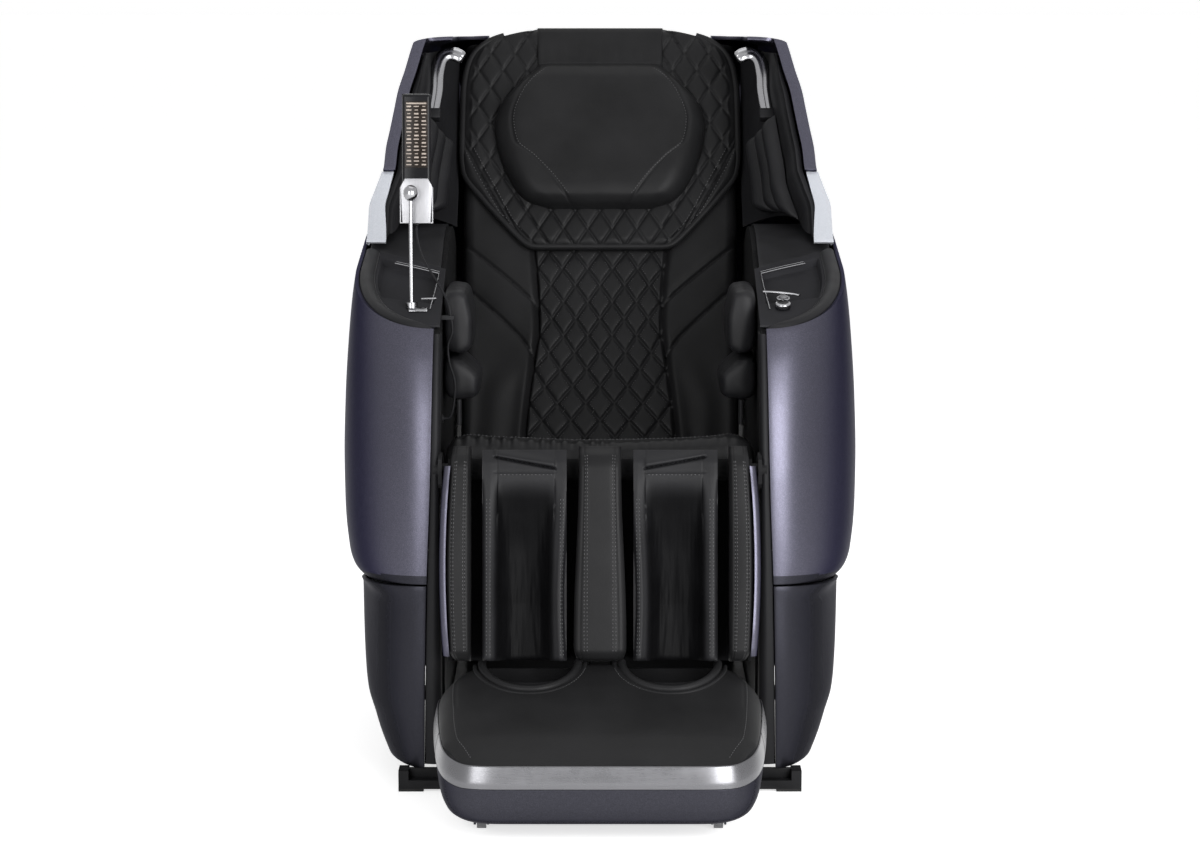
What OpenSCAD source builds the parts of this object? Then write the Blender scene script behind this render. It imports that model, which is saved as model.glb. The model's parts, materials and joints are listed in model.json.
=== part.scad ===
// Massage chair. Millimetres, +Z up, the sitter faces -Y, origin on the floor under the middle.

/* [Side pods] */
// Widest half width of the side pods
pod_half_w = 424; // [410:1:440]
// Wall of the side pod panels
pod_wall = 6; // [4:0.5:8]
// Front-most point of the pods, ahead of the origin
pod_front = 380; // [370:1:385]
// Height of the panels' lower edge
pod_bottom = 35; // [30:1:45]
// Height of the arm's front tip
arm_front_z = 735; // [715:1:750]
// Arm tip, ahead of the origin
arm_front_y = 300; // [290:1:310]
// Radius of the pods' top and rear, about the recline shaft
pod_r = 438; // [425:1:440]
// Height of the line between the upper and lower panels, at the front
split_z = 339; // [320:1:360]
// Fall of that line per millimetre of depth
split_fall = 0.117; // [0.08:0.001:0.14]

/* [Cabin] */
// Half of the clear width between the two inner liners
cabin_half_w = 254; // [252:0.5:258]
// Thickness of an inner liner
liner_t = 8; // [6:0.5:10]
// Thickness of the steel side plates of the seat frame
plate_t = 6; // [5:0.5:7]

/* [Recline] */
// Recline shaft, behind the origin
recline_y = 190; // [185:1:195]
// Height of the recline shaft
recline_z = 420; // [415:1:425]
// Lean of the back from the vertical at rest
back_lean = 27; // [25:0.5:28]
// Radius of the recline shaft
recline_shaft_r = 14; // [10:0.5:16]

/* [Back] */
// Length of the back from the shaft to its top front edge
back_len = 827; // [800:1:835]
// Half width of the back cushion
back_half_w = 240; // [230:1:242]
// Distance of the rear shell behind the shaft line
shell_y = 192; // [185:1:194]
// Wall of the rear shell and the wings
shell_wall = 6; // [4:0.5:8]
// Distance of the cushion's face ahead of the shaft line
cushion_y = 42; // [38:1:44]
// Thickness of the back cushion
cushion_t = 34; // [30:1:36]
// Half width of the quilted centre panel at its waist
quilt_half_w = 105; // [95:1:115]

/* [Head rest] */
// Distance of the head pad's lower edge from the shaft
head_pad_z = 402; // [395:1:410]
// Half width of the head pad
head_half_w = 246; // [236:1:247]
// Thickness of the head pad
head_t = 22; // [18:1:26]
// Half width of the pillow
pillow_half_w = 186; // [175:1:195]
// Thickness of the pillow
pillow_t = 42; // [34:1:46]

/* [Wings] */
// Distance of the wings' front edge ahead of the shaft line, at the bottom
wing_front = 329; // [320:1:335]
// Padding of the wings at the front edge
wing_pad = 36; // [28:1:40]
// Gap between the wings and the pods' tops
sweep_gap = 10; // [8:1:14]

/* [Seat] */
// Height of the seat cushion at its front roll
seat_front_z = 566; // [556:1:572]
// Height of the seat cushion at the back
seat_rear_z = 450; // [435:1:455]
// Thickness of the seat cushion
seat_t = 96; // [80:1:104]

/* [Calf rest] */
// Calf shaft, ahead of the origin
calf_y = 365; // [362:1:368]
// Height of the calf shaft
calf_z = 520; // [515:1:525]
// Lean of the calf rest at rest, bottom forward
calf_lean = 10; // [9:0.5:11]
// Length of the calf rest below its shaft
calf_len = 300; // [290:1:302]
// Half width of the calf rest
calf_half_w = 247; // [243:0.5:248]
// Radius of the calf shaft
calf_shaft_r = 10; // [8:0.5:12]
// Depth of the troughs for the calves
trough_depth = 62; // [54:1:66]

/* [Foot box] */
// Half width of the foot box at its widest
foot_half_w = 258; // [250:1:262]
// Front of the foot box, ahead of the origin
foot_front = 720; // [710:1:730]
// Wall of the foot box
foot_wall = 5; // [4:0.5:7]
// Half width of the flat front of the foot box
foot_front_half_w = 187; // [175:1:195]
// Radius of the floor rollers
foot_wheel_r = 16; // [14:0.5:18]
// Radius of the sole rollers
sole_roller_r = 12; // [10:0.5:14]

/* [Base] */
// Half width of the base frame over its end posts
base_half_w = 321; // [315:1:325]
// Front of the base frame, ahead of the origin
base_front = 360; // [345:1:365]
// Length of the base frame
base_len = 705; // [690:1:715]
// Height of the floor pads
pad_h = 4; // [3:0.5:6]
// Height of the slide rails' top
rail_top = 55; // [50:1:60]
// Radius of the rear transport wheels
rear_wheel_r = 30; // [26:1:34]

/* [Remote stand] */
// Height of the tilt pin above the arm
rod_len = 184; // [170:1:195]
// Radius of the stand rod
rod_r = 4.5; // [3.5:0.5:5.5]
// Width of the remote
remote_w = 46; // [42:1:48]
// Length of the remote
remote_len = 204; // [190:1:212]
// Thickness of the remote
remote_t = 17; // [14:0.5:19]
// Diameter of the remote's cord
cord_d = 3.8; // [3:0.1:3.9]

/* [Hidden] */
$fn = 24;

seat_gap = 0.3;          // parts that rest on each other without touching
run_gap = 0.05;          // radial clearance of turning parts
liner_out = cabin_half_w + liner_t;
plate_out = cabin_half_w - seat_gap;
plate_in = plate_out - plate_t;

// ---------- helpers ----------

function mix(a, b, t) = a + (b - a) * t;
function clamp01(t) = min(1, max(0, t));
// Quarter circle rise from 0 to 1
function bulge(t) = sqrt(max(0, 1 - pow(1 - clamp01(t), 2)));

// Side-view point inside four border curves (u runs front to rear, v bottom to top)
function patch(front, rear, bottom, top, u, v) =
    mix(front(v), rear(v), u) + mix(bottom(u), top(u), v)
    - mix(mix(front(0), rear(0), u), mix(front(1), rear(1), u), v);

// Closed solid between two grids of points; the outer grid's rows run up and its columns back,
// seen from +X. Split edges alternate when quilted is true.
module slab(outer, inner, quilted = false) {
    rows = len(outer);
    cols = len(outer[0]);
    n = rows * cols;
    function id(side, r, c) = side * n + r * cols + c;
    points = [for (grid = [outer, inner], row = grid, p = row) p];
    faces = [
        for (r = [0:rows - 2], c = [0:cols - 2], k = [0:3])
            let (a = id(0, r, c), b = id(0, r, c + 1), d = id(0, r + 1, c), e = id(0, r + 1, c + 1),
                 odd = quilted && (r + c) % 2 == 1)
            if (k == 0) (odd ? [a, d, b] : [a, e, b])
            else if (k == 1) (odd ? [b, d, e] : [a, d, e])
            else if (k == 2) [a + n, b + n, e + n]
            else [a + n, e + n, d + n],
        for (c = [0:cols - 2], k = [0:3])
            let (a = id(0, 0, c), b = a + 1, d = id(0, rows - 1, c), e = d + 1)
            if (k == 0) [a, b, b + n]
            else if (k == 1) [a, b + n, a + n]
            else if (k == 2) [e, d, d + n]
            else [e, d + n, e + n],
        for (r = [0:rows - 2], k = [0:3])
            let (a = id(0, r, 0), d = id(0, r + 1, 0), b = id(0, r, cols - 1), e = id(0, r + 1, cols - 1))
            if (k == 0) [d, a, a + n]
            else if (k == 1) [d, a + n, d + n]
            else if (k == 2) [b, e, e + n]
            else [b, e + n, b + n]
    ];
    polyhedron(points, faces);
}

// Cushion: a shaped face grid closed by one flat back point fan. The face's columns run along +X
// and its rows along the second direction, seen from the face's side.
module cushion(face, back, quilted = false) {
    rows = len(face);
    cols = len(face[0]);
    n = rows * cols;
    function id(r, c) = r * cols + c;
    rim = concat([for (c = [0:cols - 1]) id(0, c)], [for (r = [1:rows - 1]) id(r, cols - 1)],
        [for (c = [cols - 2:-1:0]) id(rows - 1, c)], [for (r = [rows - 2:-1:1]) id(r, 0)]);
    m = len(rim);
    points = concat([for (row = face, p = row) p], [for (i = rim) back(face[floor(i / cols)][i % cols])],
        [back((face[0][0] + face[rows - 1][cols - 1]) / 2)]);
    faces = [
        for (r = [0:rows - 2], c = [0:cols - 2], k = [0:1])
            let (a = id(r, c), b = id(r, c + 1), d = id(r + 1, c), e = id(r + 1, c + 1),
                 odd = quilted && (r + c) % 2 == 1)
            k == 0 ? (odd ? [a, d, b] : [a, e, b]) : (odd ? [b, d, e] : [a, d, e]),
        for (i = [0:m - 1], k = [0:2])
            let (j = (i + 1) % m)
            if (k == 0) [rim[i], rim[j], n + j]
            else if (k == 1) [rim[i], n + j, n + i]
            else [n + i, n + j, n + m]
    ];
    polyhedron(points, faces);
}

// Round tube swept along points, eight sides
module swept_tube(path, d) {
    count = len(path);
    sides = 8;
    function along(i) = let (v = path[min(i + 1, count - 1)] - path[max(i - 1, 0)]) v / norm(v);
    function ring(i) = let (t = along(i), a = cross(t, [0.2, 1, 0.1]), e = a / norm(a), f = cross(t, e))
        [for (k = [0:sides - 1]) path[i] + (e * cos(k * 360 / sides) + f * sin(k * 360 / sides)) * d / 2];
    points = [for (i = [0:count - 1], p = ring(i)) p];
    faces = [
        for (i = [0:count - 2], k = [0:sides - 1], h = [0:1])
            let (a = i * sides + k, b = i * sides + (k + 1) % sides)
            h == 0 ? [a, b, b + sides] : [a, b + sides, a + sides],
        for (k = [1:sides - 2]) [0, k + 1, k],
        for (k = [1:sides - 2]) let (s = (count - 1) * sides) [s, s + k, s + k + 1]
    ];
    polyhedron(points, faces);
}

// Smooth points through hand-chosen ones
function spline(pts, steps) = [for (i = [0:len(pts) - 2], s = [0:steps - 1])
    let (t = s / steps, a = pts[max(i - 1, 0)], b = pts[i], c = pts[i + 1], d = pts[min(i + 2, len(pts) - 1)])
    0.5 * (2 * b + (c - a) * t + (2 * a - 5 * b + 4 * c - d) * t * t + (3 * b - a - 3 * c + d) * t * t * t),
    pts[len(pts) - 1]];

module bar_x(x0, x1, r) { translate([x0, 0, 0]) rotate([0, 90, 0]) cylinder(r = r, h = x1 - x0); }
module ring_x(x0, x1, r, bore) {
    translate([x0, 0, 0]) rotate([0, 90, 0]) difference() {
        cylinder(r = r, h = x1 - x0);
        translate([0, 0, -1]) cylinder(r = bore, h = x1 - x0 + 2);
    }
}
module side_plate(x0, x1, outline) {
    translate([x0, 0, 0]) rotate([90, 0, 90]) linear_extrude(x1 - x0) polygon(outline);
}
module left_of() { mirror([1, 0, 0]) children(); }
module at_recline() { translate([0, recline_y, recline_z]) rotate([-back_lean, 0, 0]) children(); }
module at_calf() { translate([0, -calf_y, calf_z]) rotate([-calf_lean, 0, 0]) children(); }

// ---------- side pods ----------

arc_front_y = 40;                                    // where the arm line meets the rear arc
arc_front_z = recline_z + sqrt(pod_r * pod_r - pow(arc_front_y - recline_y, 2));
arm_rise = (arc_front_z - arm_front_z) / (arc_front_y + arm_front_y);
arc_end = 60;                                        // angle on the arc at the rear top corner
arc_low = -asin((recline_z - pod_bottom - 6) / pod_r);
pod_rear_x = 300;                                    // panels' half width at the rear edge
front_u = 0.36;                                      // share of the panel that curves at the front
rear_u = 0.68;                                       // where the rear curve starts

function arm_line(y) = arm_front_z + arm_rise * (y + arm_front_y);
function arc_point(a, r = pod_r) = [recline_y + r * cos(a), recline_z + r * sin(a)];
function pod_top_z(y) = y < arc_front_y ? arm_line(y)
    : recline_z + sqrt(max(0, pod_r * pod_r - pow(y - recline_y, 2)));
// Front edge's y at a height
function front_y(z) = -pod_front + lookup(z, [[0, 40], [100, 20], [250, 3], [390, 0], [500, 4], [600, 22],
    [680, 50], [735, 80], [760, 96]]);
// Panels' inner front edge, narrower towards the arm
function front_x(z) = cabin_half_w + lookup(z, [[0, 27], [340, 19], [500, 13], [760, 8.4]]);
// Widest half width at a height
function pod_x(z) = pod_half_w - lookup(z, [[20, 80], [66, 60], [98, 50], [131, 40], [164, 37], [230, 35],
    [300, 34], [330, 12], [360, 7], [394, 3], [430, 1], [496, 0], [597, 3], [697, 10], [764, 17], [831, 28],
    [860, 34]]);
function split_at(y) = split_z - split_fall * (y + pod_front);
top_rear = arc_point(arc_end);
pod_top = function (u) let (y = mix(-arm_front_y, top_rear[0], u)) [y, pod_top_z(y)];
rear_split_z = split_at(recline_y + pod_r * cos(15));
rear_split_a = -asin((recline_z - rear_split_z) / pod_r);

// Skin of a pod between two border curves, drawn in by inset
function pod_skin(front, rear, bottom, top, us, vs, inset, low_x) = [for (v = vs) [for (u = us)
    let (p = patch(front, rear, bottom, top, u, v), z = p[1],
         w = pod_x(z) - low_x(u, v) - inset,
         x = u < front_u ? mix(front_x(z), w, bulge(u / front_u))
           : u < rear_u ? w : mix(pod_rear_x, w, bulge((1 - u) / (1 - rear_u))),
         y = p[0] + (u < front_u ? inset * (1 - u / front_u) : u > rear_u ? -inset * (u - rear_u) / (1 - rear_u) : 0))
    [x, y, z]]];

front_us = [for (k = [0:8]) front_u * (1 - cos(k * 90 / 8))];
rear_us = [for (k = [0:6]) rear_u + (1 - rear_u) * sin(k * 90 / 6)];
pod_us = concat(front_us, [0.52], rear_us);
lip_h = 0.1;                                         // share of the upper panel that curls in
lip_in = 18;
upper_front = function (v) let (z = mix(split_at(-pod_front), arm_front_z, v)) [front_y(z), z];
upper_rear = function (v) arc_point(mix(rear_split_a, arc_end, v));
upper_bottom = function (u) let (y = mix(front_y(split_z), arc_point(rear_split_a)[0], u))
    [y, mix(split_at(y), rear_split_z, clamp01((u - rear_u) / (1 - rear_u)))];
upper_low_x = function (u, v) lip_in * (1 - bulge(v / lip_h));
module upper_panel() {
    vs = [0, 0.02, 0.05, 0.1, 0.25, 0.45, 0.65, 0.85, 1];
    outer = pod_skin(upper_front, upper_rear, upper_bottom, pod_top, pod_us, vs, 0, upper_low_x);
    inner = pod_skin(upper_front, upper_rear, upper_bottom, pod_top, pod_us, vs, pod_wall, upper_low_x);
    color("#5a5870") slab(outer, inner);
}

split_gap = 3;
no_low_x = function (u, v) 0;
lower_front = function (v) let (z = mix(pod_bottom, split_z - split_gap, v)) [front_y(z), z];
lower_rear = function (v) arc_point(mix(arc_low, rear_split_a - asin(split_gap / pod_r), v));
lower_top = function (u) let (p = upper_bottom(u)) [p[0], p[1] - split_gap];
lower_bottom = function (u) [mix(front_y(pod_bottom), arc_point(arc_low)[0], u), pod_bottom + 6 * u];
module lower_panel() {
    vs = [0, 0.12, 0.3, 0.5, 0.75, 1];
    outer = pod_skin(lower_front, lower_rear, lower_bottom, lower_top, pod_us, vs, 0, no_low_x);
    inner = pod_skin(lower_front, lower_rear, lower_bottom, lower_top, pod_us, vs, pod_wall, no_low_x);
    color("#33323c") slab(outer, inner);
}
module upper_panel_right() { upper_panel(); }
module upper_panel_left() { left_of() upper_panel(); }
module lower_panel_right() { lower_panel(); }
module lower_panel_left() { left_of() lower_panel(); }

// Outline of a liner in side view, drawn in from the pod's border
liner_inset = 6;
liner_drop = 9;                                      // the liner's top runs under the console's edge
function liner_outline() = concat(
    [for (z = [pod_bottom + liner_inset, 100, 180, 260, 390, 500, 600, 680]) [front_y(z) + liner_inset, z]],
    [[-arm_front_y + liner_inset, arm_line(-arm_front_y) - liner_drop]],
    [[arc_front_y - 4, arm_line(arc_front_y - 4) - liner_drop], [arc_front_y, arc_front_z - liner_inset]],
    [for (a = [105:-7.5:-37.5]) arc_point(a, pod_r - liner_inset)],
    [arc_point(arc_low + 3, pod_r - liner_inset)],
    [[base_len - base_front - 20, pod_bottom + liner_inset]]);

// Sloping filler between the liner and the panel's front edge
function reveal_grid(y_add) = [for (z = [pod_bottom + liner_inset, 100, 180, 260, 390, 500, 600, 680, arm_front_z - 8])
    [[liner_out + seat_gap, front_y(z) + liner_inset + y_add, z], [front_x(z) - seat_gap, front_y(z) + liner_inset + y_add, z]]];
module liner() {
    color("#1c1c20") difference() {
        side_plate(cabin_half_w, liner_out, liner_outline());
        translate([0, -calf_y, calf_z]) bar_x(cabin_half_w - 1, liner_out + 1, calf_shaft_r + run_gap);
        translate([0, recline_y, recline_z]) bar_x(cabin_half_w - 1, liner_out + 1, recline_shaft_r + run_gap);
    }
    color("#1c1c20") slab(reveal_grid(0), reveal_grid(10));
}
module liner_right() { liner(); }
module liner_left() { left_of() liner(); }

// ---------- arms and consoles ----------

console_back_y = -50;                                // console's rear edge at the liner
rim_w = 30;
rim_h = 12;
tray_drop = 14;
// Panel's inner top edge at share u
function top_edge(u) = let (p = pod_top(u), z = p[1],
    w = pod_x(z) - pod_wall,
    x = mix(front_x(z), w, bulge(u / front_u)))
    [x - seat_gap, p[0] + pod_wall * max(0, 1 - u / front_u), z];
console_u = (arc_front_y + arm_front_y) / (top_rear[0] + arm_front_y);
function console_row(s) = let (o = top_edge(mix(0.004, console_u, s)),
    iy = mix(o[1], mix(-arm_front_y, console_back_y, s), clamp01(s * 4)),
    i = [cabin_half_w, iy, arm_line(iy)]) [i, o];
function row_point(r, t, drop) = let (p = mix(r[0], r[1], t)) [p[0], p[1], p[2] - drop];
rim_rows = [for (k = [0:16]) console_row(0.06 + 0.94 * k / 16)];
// Share of a row at a distance from its outer end
function from_outer(r, d) = 1 - min(0.8, d / norm(r[1] - r[0]));
module arm_rim() {
    face = [for (r = rim_rows) [for (d = [0, 5, 12, 20, rim_w])
        row_point(r, from_outer(r, d), 3 - 3 * sin(180 * d / rim_w))]];
    under = [for (r = rim_rows) [for (d = [0, 5, 12, 20, rim_w]) row_point(r, from_outer(r, d), 3 + rim_h)]];
    color("#26262b") slab(under, face);
}
module arm_rim_right() { arm_rim(); }
module arm_rim_left() { left_of() arm_rim(); }

function tray_drop_at(t, s) = (t > 0.12 && t < 0.9 && s > 0.3 && s < 0.9) ? tray_drop : 2;
module console() {
    rows = [for (k = [0:14]) rim_rows[k + 2]];
    ts = [0, 0.1, 0.14, 0.5, 0.86, 0.92, 1];
    function at(r, t) = mix(0, from_outer(r, rim_w + seat_gap), t);
    face = [for (k = [0:14]) [for (t = ts) row_point(rows[k], at(rows[k], t), tray_drop_at(t, k / 14))]];
    under = [for (k = [0:14]) [for (t = ts) row_point(rows[k], at(rows[k], t), tray_drop_at(t, k / 14) + 6)]];
    color("#101014") slab(face, under);
}
module consoles() { console(); left_of() console(); }

// Rear cover: closes the pod between the liner and the panel along the arc
function cover_edge(a) = let (p = arc_point(a, pod_r), u = (p[0] + arm_front_y) / (top_rear[0] + arm_front_y),
    w = pod_x(p[1]) - pod_wall)
    (a > arc_end ? (u < rear_u ? w : mix(pod_rear_x, w, bulge((1 - u) / (1 - rear_u)))) : pod_rear_x)
    - pod_wall - seat_gap;
cover_start = acos((arc_front_y - recline_y) / pod_r);
cover_as = concat([for (k = [0:8]) mix(cover_start, arc_end, k / 8)],
    [for (k = [1:8]) mix(arc_end, arc_low, k / 8)]);
console_end = console_row(1);
function cover_point(a, t, r, first) = let (p = arc_point(a, r), x = mix(liner_out + seat_gap, cover_edge(a), t),
    along = (x - console_end[0][0]) / (console_end[1][0] - console_end[0][0]),
    y = first ? mix(console_end[0][1], console_end[1][1], along) + 3 * seat_gap : p[0])
    [x, y, first ? arm_line(y) - (pod_r - r) : p[1]];
module rear_cover() {
    ts = [0, 0.35, 0.7, 1];
    function grid(r) = [for (k = [0:len(cover_as) - 1]) [for (t = ts) cover_point(cover_as[k], t, r, k == 0)]];
    color("#1c1c20") slab(grid(pod_r - 2), grid(pod_r - 14));
}
module rear_cover_right() { rear_cover(); }
module rear_cover_left() { left_of() rear_cover(); }

// ---------- base on the floor ----------

bar_d = 40;                                          // floor bars, front to rear
bar_h = 14;
post_t = 16;
post_top = pod_bottom - 1.5;                         // the pods slide over the end posts
rail_x = 220;
rail_w = 30;
wheel_x = 145;
wheel_w = 26;
wheel_y = base_len - base_front + rear_wheel_r + 4;
wheel_lift = 4;                                      // transport wheels hang clear of the floor
wheel_z = rear_wheel_r + wheel_lift;
axle_r = 6;
bracket_t = 8;

module base_frame() {
    rear = base_len - base_front;
    color("#17171b") difference() {
        union() {
            for (y = [-base_front, rear - bar_d])
                translate([-base_half_w, y, pad_h]) cube([2 * base_half_w, bar_d, bar_h]);
            for (x = [-base_half_w, base_half_w - post_t])
                translate([x, -base_front, pad_h]) cube([post_t, bar_d, post_top - pad_h]);
            for (s = [-1, 1])
                translate([s * rail_x - rail_w / 2, -base_front, pad_h])
                    cube([rail_w, base_len, rail_top - pad_h]);
            for (s = [-1, 1], x = [wheel_x - wheel_w / 2 - bracket_t - 1, wheel_x + wheel_w / 2 + 1])
                translate([s > 0 ? x : -x - bracket_t, rear - bar_d, pad_h])
                    cube([bracket_t, wheel_y - rear + bar_d + 10, wheel_z + 6]);
        }
        translate([0, wheel_y, wheel_z]) bar_x(-base_half_w, base_half_w, axle_r + run_gap);
    }
}

module floor_pads() {
    color("#101012") for (x = [-base_half_w, base_half_w - bar_d], y = [-base_front, base_len - base_front - bar_d])
        translate([x, y, 0]) cube([bar_d, bar_d, pad_h]);
}

module rear_axle() {
    reach = wheel_x + wheel_w / 2 + bracket_t + 4;
    color("silver") translate([0, wheel_y, wheel_z]) bar_x(-reach, reach, axle_r);
}
module rear_wheels() {
    color("#222226") translate([0, wheel_y, wheel_z])
        for (x = [-wheel_x, wheel_x]) ring_x(x - wheel_w / 2, x + wheel_w / 2, rear_wheel_r, axle_r + run_gap);
}

// ---------- seat frame ----------

runner_z = rail_top + seat_gap;
runner_h = 38;
runner_w = 40;
frame_front = 318;
frame_rear = base_len - base_front - 5;
seat_rear = 140;
seat_front = 316;
deck_t = 6;
boss_r = 26;

function seat_bottom(y) = mix(seat_front_z - seat_t, seat_rear_z - seat_t, (y + seat_front) / (seat_front + seat_rear));
deck_line = [for (y = [-seat_front, seat_rear]) [y, seat_bottom(y) - seat_gap]];

module seat_frame() {
    outline = [[-frame_front, runner_z], [-frame_front, 462], [-calf_y - 20, calf_z - 20],
        [-calf_y - 24, calf_z], [-calf_y - 16, calf_z + 18], [-calf_y + 10, calf_z + 26],
        [-frame_front, calf_z + 14], [-200, 470], [60, 420], [recline_y - 40, recline_z + 24],
        [recline_y, recline_z + 34], [recline_y + 30, recline_z + 18], [recline_y + 34, recline_z - 20],
        [frame_rear, 130], [frame_rear, runner_z]];
    color("#3a3a40") difference() {
        union() {
            for (s = [-1, 1]) {
                translate([s * rail_x - runner_w / 2, -frame_front, runner_z])
                    cube([runner_w, frame_front + frame_rear, runner_h]);
                translate([s > 0 ? rail_x : -plate_out, -frame_front, runner_z + runner_h - 8])
                    cube([plate_out - rail_x, frame_front + frame_rear, 8]);
            }
            side_plate(plate_in, plate_out, outline);
            side_plate(-plate_out, -plate_in, outline);
            for (y = [-frame_front, frame_rear - 40])
                translate([-rail_x, y, runner_z]) cube([2 * rail_x, 40, runner_h]);
            side_plate(-plate_in, plate_in, concat(deck_line, [for (p = [deck_line[1], deck_line[0]]) p - [0, deck_t]]));
        }
        translate([0, -calf_y, calf_z]) bar_x(-cabin_half_w, cabin_half_w, calf_shaft_r + run_gap);
        translate([0, recline_y, recline_z]) bar_x(-cabin_half_w, cabin_half_w, recline_shaft_r + run_gap);
    }
}

module pivot_shafts() {
    color("silver") {
        translate([0, -calf_y, calf_z]) bar_x(-liner_out, liner_out, calf_shaft_r);
        translate([0, recline_y, recline_z]) bar_x(-liner_out, liner_out, recline_shaft_r);
    }
}

case_w = 470;
case_h = 132;
case_d = 90;
switch_x = 52;
switch_w = 24;
switch_h = 34;
switch_z = runner_z + runner_h + 46;
switch_tilt = 8;
module power_case() {
    color("#2a2a2e") difference() {
        translate([-case_w / 2, frame_rear - case_d, runner_z + runner_h + seat_gap]) cube([case_w, case_d, case_h]);
        translate([switch_x - switch_w / 2, frame_rear - 14, switch_z - switch_h / 2]) cube([switch_w, 20, switch_h]);
        translate([-60, frame_rear - 16, runner_z + runner_h + 30]) cube([28, 20, 24]);
    }
}
// Rocker in the case's left cut-out, turning on the line through its middle
module power_switch() {
    color("#b02020") translate([switch_x, frame_rear - 4, switch_z]) rotate([switch_tilt, 0, 0])
        translate([seat_gap - switch_w / 2, -3, -13]) cube([switch_w - 2 * seat_gap, 8, 26]);
}

// Seat cushion: crowned, rolled at the front, falling to the rear
seat_half_w = plate_in - 3;
function seat_top(y) = lookup(y, [[-seat_front, seat_front_z - 46], [3 - seat_front, seat_front_z - 24],
    [11 - seat_front, seat_front_z - 8], [26 - seat_front, seat_front_z], [-260, seat_front_z - 1], [-200, seat_front_z - 14],
    [-60, mix(seat_rear_z, seat_front_z, 0.42)], [60, seat_rear_z + 8], [120, seat_rear_z],
    [seat_rear, seat_rear_z - 12]]);
module seat_cushion() {
    ys = [-seat_front, 3 - seat_front, 11 - seat_front, 26 - seat_front, -260, -225, -190, -130, -60, 0, 60, 100, 128, seat_rear];
    ts = [-1, -0.97, -0.9, -0.8, -0.66, -0.5, -0.33, -0.16, 0, 0.16, 0.33, 0.5, 0.66, 0.8, 0.9, 0.97, 1];
    face = [for (y = ys) [for (k = [0:16])
        let (t = ts[k], edge = 1 - bulge((1 - abs(t)) / 0.2), dip = y < -180 ? 14 * (1 - t * t) : 4 * (1 - t * t),
             gather = y < -250 && k > 2 && k < 14 ? 3 * (k % 2) : 0)
        [t * seat_half_w, y, seat_top(y) - dip - gather - 34 * edge]]];
    color("#26262b") cushion(face, function (p) [p[0], p[1], seat_bottom(p[1])]);
}

// ---------- recline actuator ----------

lever_r = 110;
recline_range = 45;
rod_z = recline_z - lever_r * (1 + cos(recline_range / 2)) / 2;
lever_pin_r = 6;
rod_travel = 2 * (recline_z - rod_z) * tan(recline_range / 2);
rod_y = recline_y + rod_travel / 2;
actuator_r = 22;
push_rod_r = 10;
module recline_actuator() {
    color("#55555c") difference() {
        union() {
            translate([0, -120, rod_z]) rotate([-90, 0, 0]) cylinder(r = actuator_r, h = 200);
            translate([-20, -170, rod_z - 20]) cube([40, 90, 40]);
            translate([-6, -150, rod_z]) cube([12, 40, seat_bottom(-110) - 2 * seat_gap - deck_t - rod_z]);
        }
        translate([0, -60, rod_z]) rotate([-90, 0, 0]) cylinder(r = push_rod_r + run_gap, h = 200);
    }
}
module recline_rod() {
    color("silver") {
        translate([0, 30, rod_z]) rotate([-90, 0, 0]) cylinder(r = push_rod_r, h = rod_y - 30 - 26);
        for (x = [-12, 7]) translate([x, rod_y - 26, rod_z - 10]) cube([5, 36, 20]);
        translate([-12, rod_y - 30, rod_z - 10]) cube([24, 6, 20]);
        translate([0, rod_y, rod_z]) bar_x(-12, 12, lever_pin_r);
    }
}

// ---------- arm details ----------

stand_x = 302;
stand_y = 211;
knob_x = 293;
knob_y = 215;
plate_drop = 2;                                      // console plate below the arm line
function plate_z(y) = arm_line(y) - plate_drop;
arm_tilt = atan(arm_rise);

module on_arm(x, y) { translate([x, y, plate_z(y)]) rotate([arm_tilt, 0, 0]) children(); }
module knob_shape() { rotate_extrude() polygon([[0, 0.6], [13, 0.6], [13, 9], [11.5, 11], [0, 11]]); }
module quick_knob() { color("silver") on_arm(knob_x, -knob_y) knob_shape(); }
button_r = 7;
button_travel = 3;
module at_button() { on_arm(knob_x + 2, -knob_y + 34) children(); }
module pause_button() {
    color("#888890") at_button() translate([0, 0, seat_gap + button_travel + 0.3]) cylinder(r = button_r, h = 5);
}

module rod_between(p, q, r) {
    v = q - p;
    translate(p) rotate([0, acos(v[2] / norm(v)), atan2(v[1], v[0])]) cylinder(r = r, h = norm(v), $fn = 16);
}
// Chrome strips lie on the console plates, at x and y, each end at its own height
module strip(x0, y0, x1, y1) { rod_between([x0, y0, plate_z(y0) + 2.6], [x1, y1, plate_z(y1) + 2.6], 2); }
module console_trims() {
    color("silver") {
        strip(262, -66, 338, -22);
        left_of() strip(262, -66, 338, -22);
        strip(262, -168, 318, -158);
        left_of() strip(262, -186, 286, -186);
        at_button() translate([0, 0, seat_gap]) difference() {
            cylinder(r = button_r + 4, h = button_travel + 3);
            translate([0, 0, -1]) cylinder(r = button_r + seat_gap, h = button_travel + 5);
        }
    }
}

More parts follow.
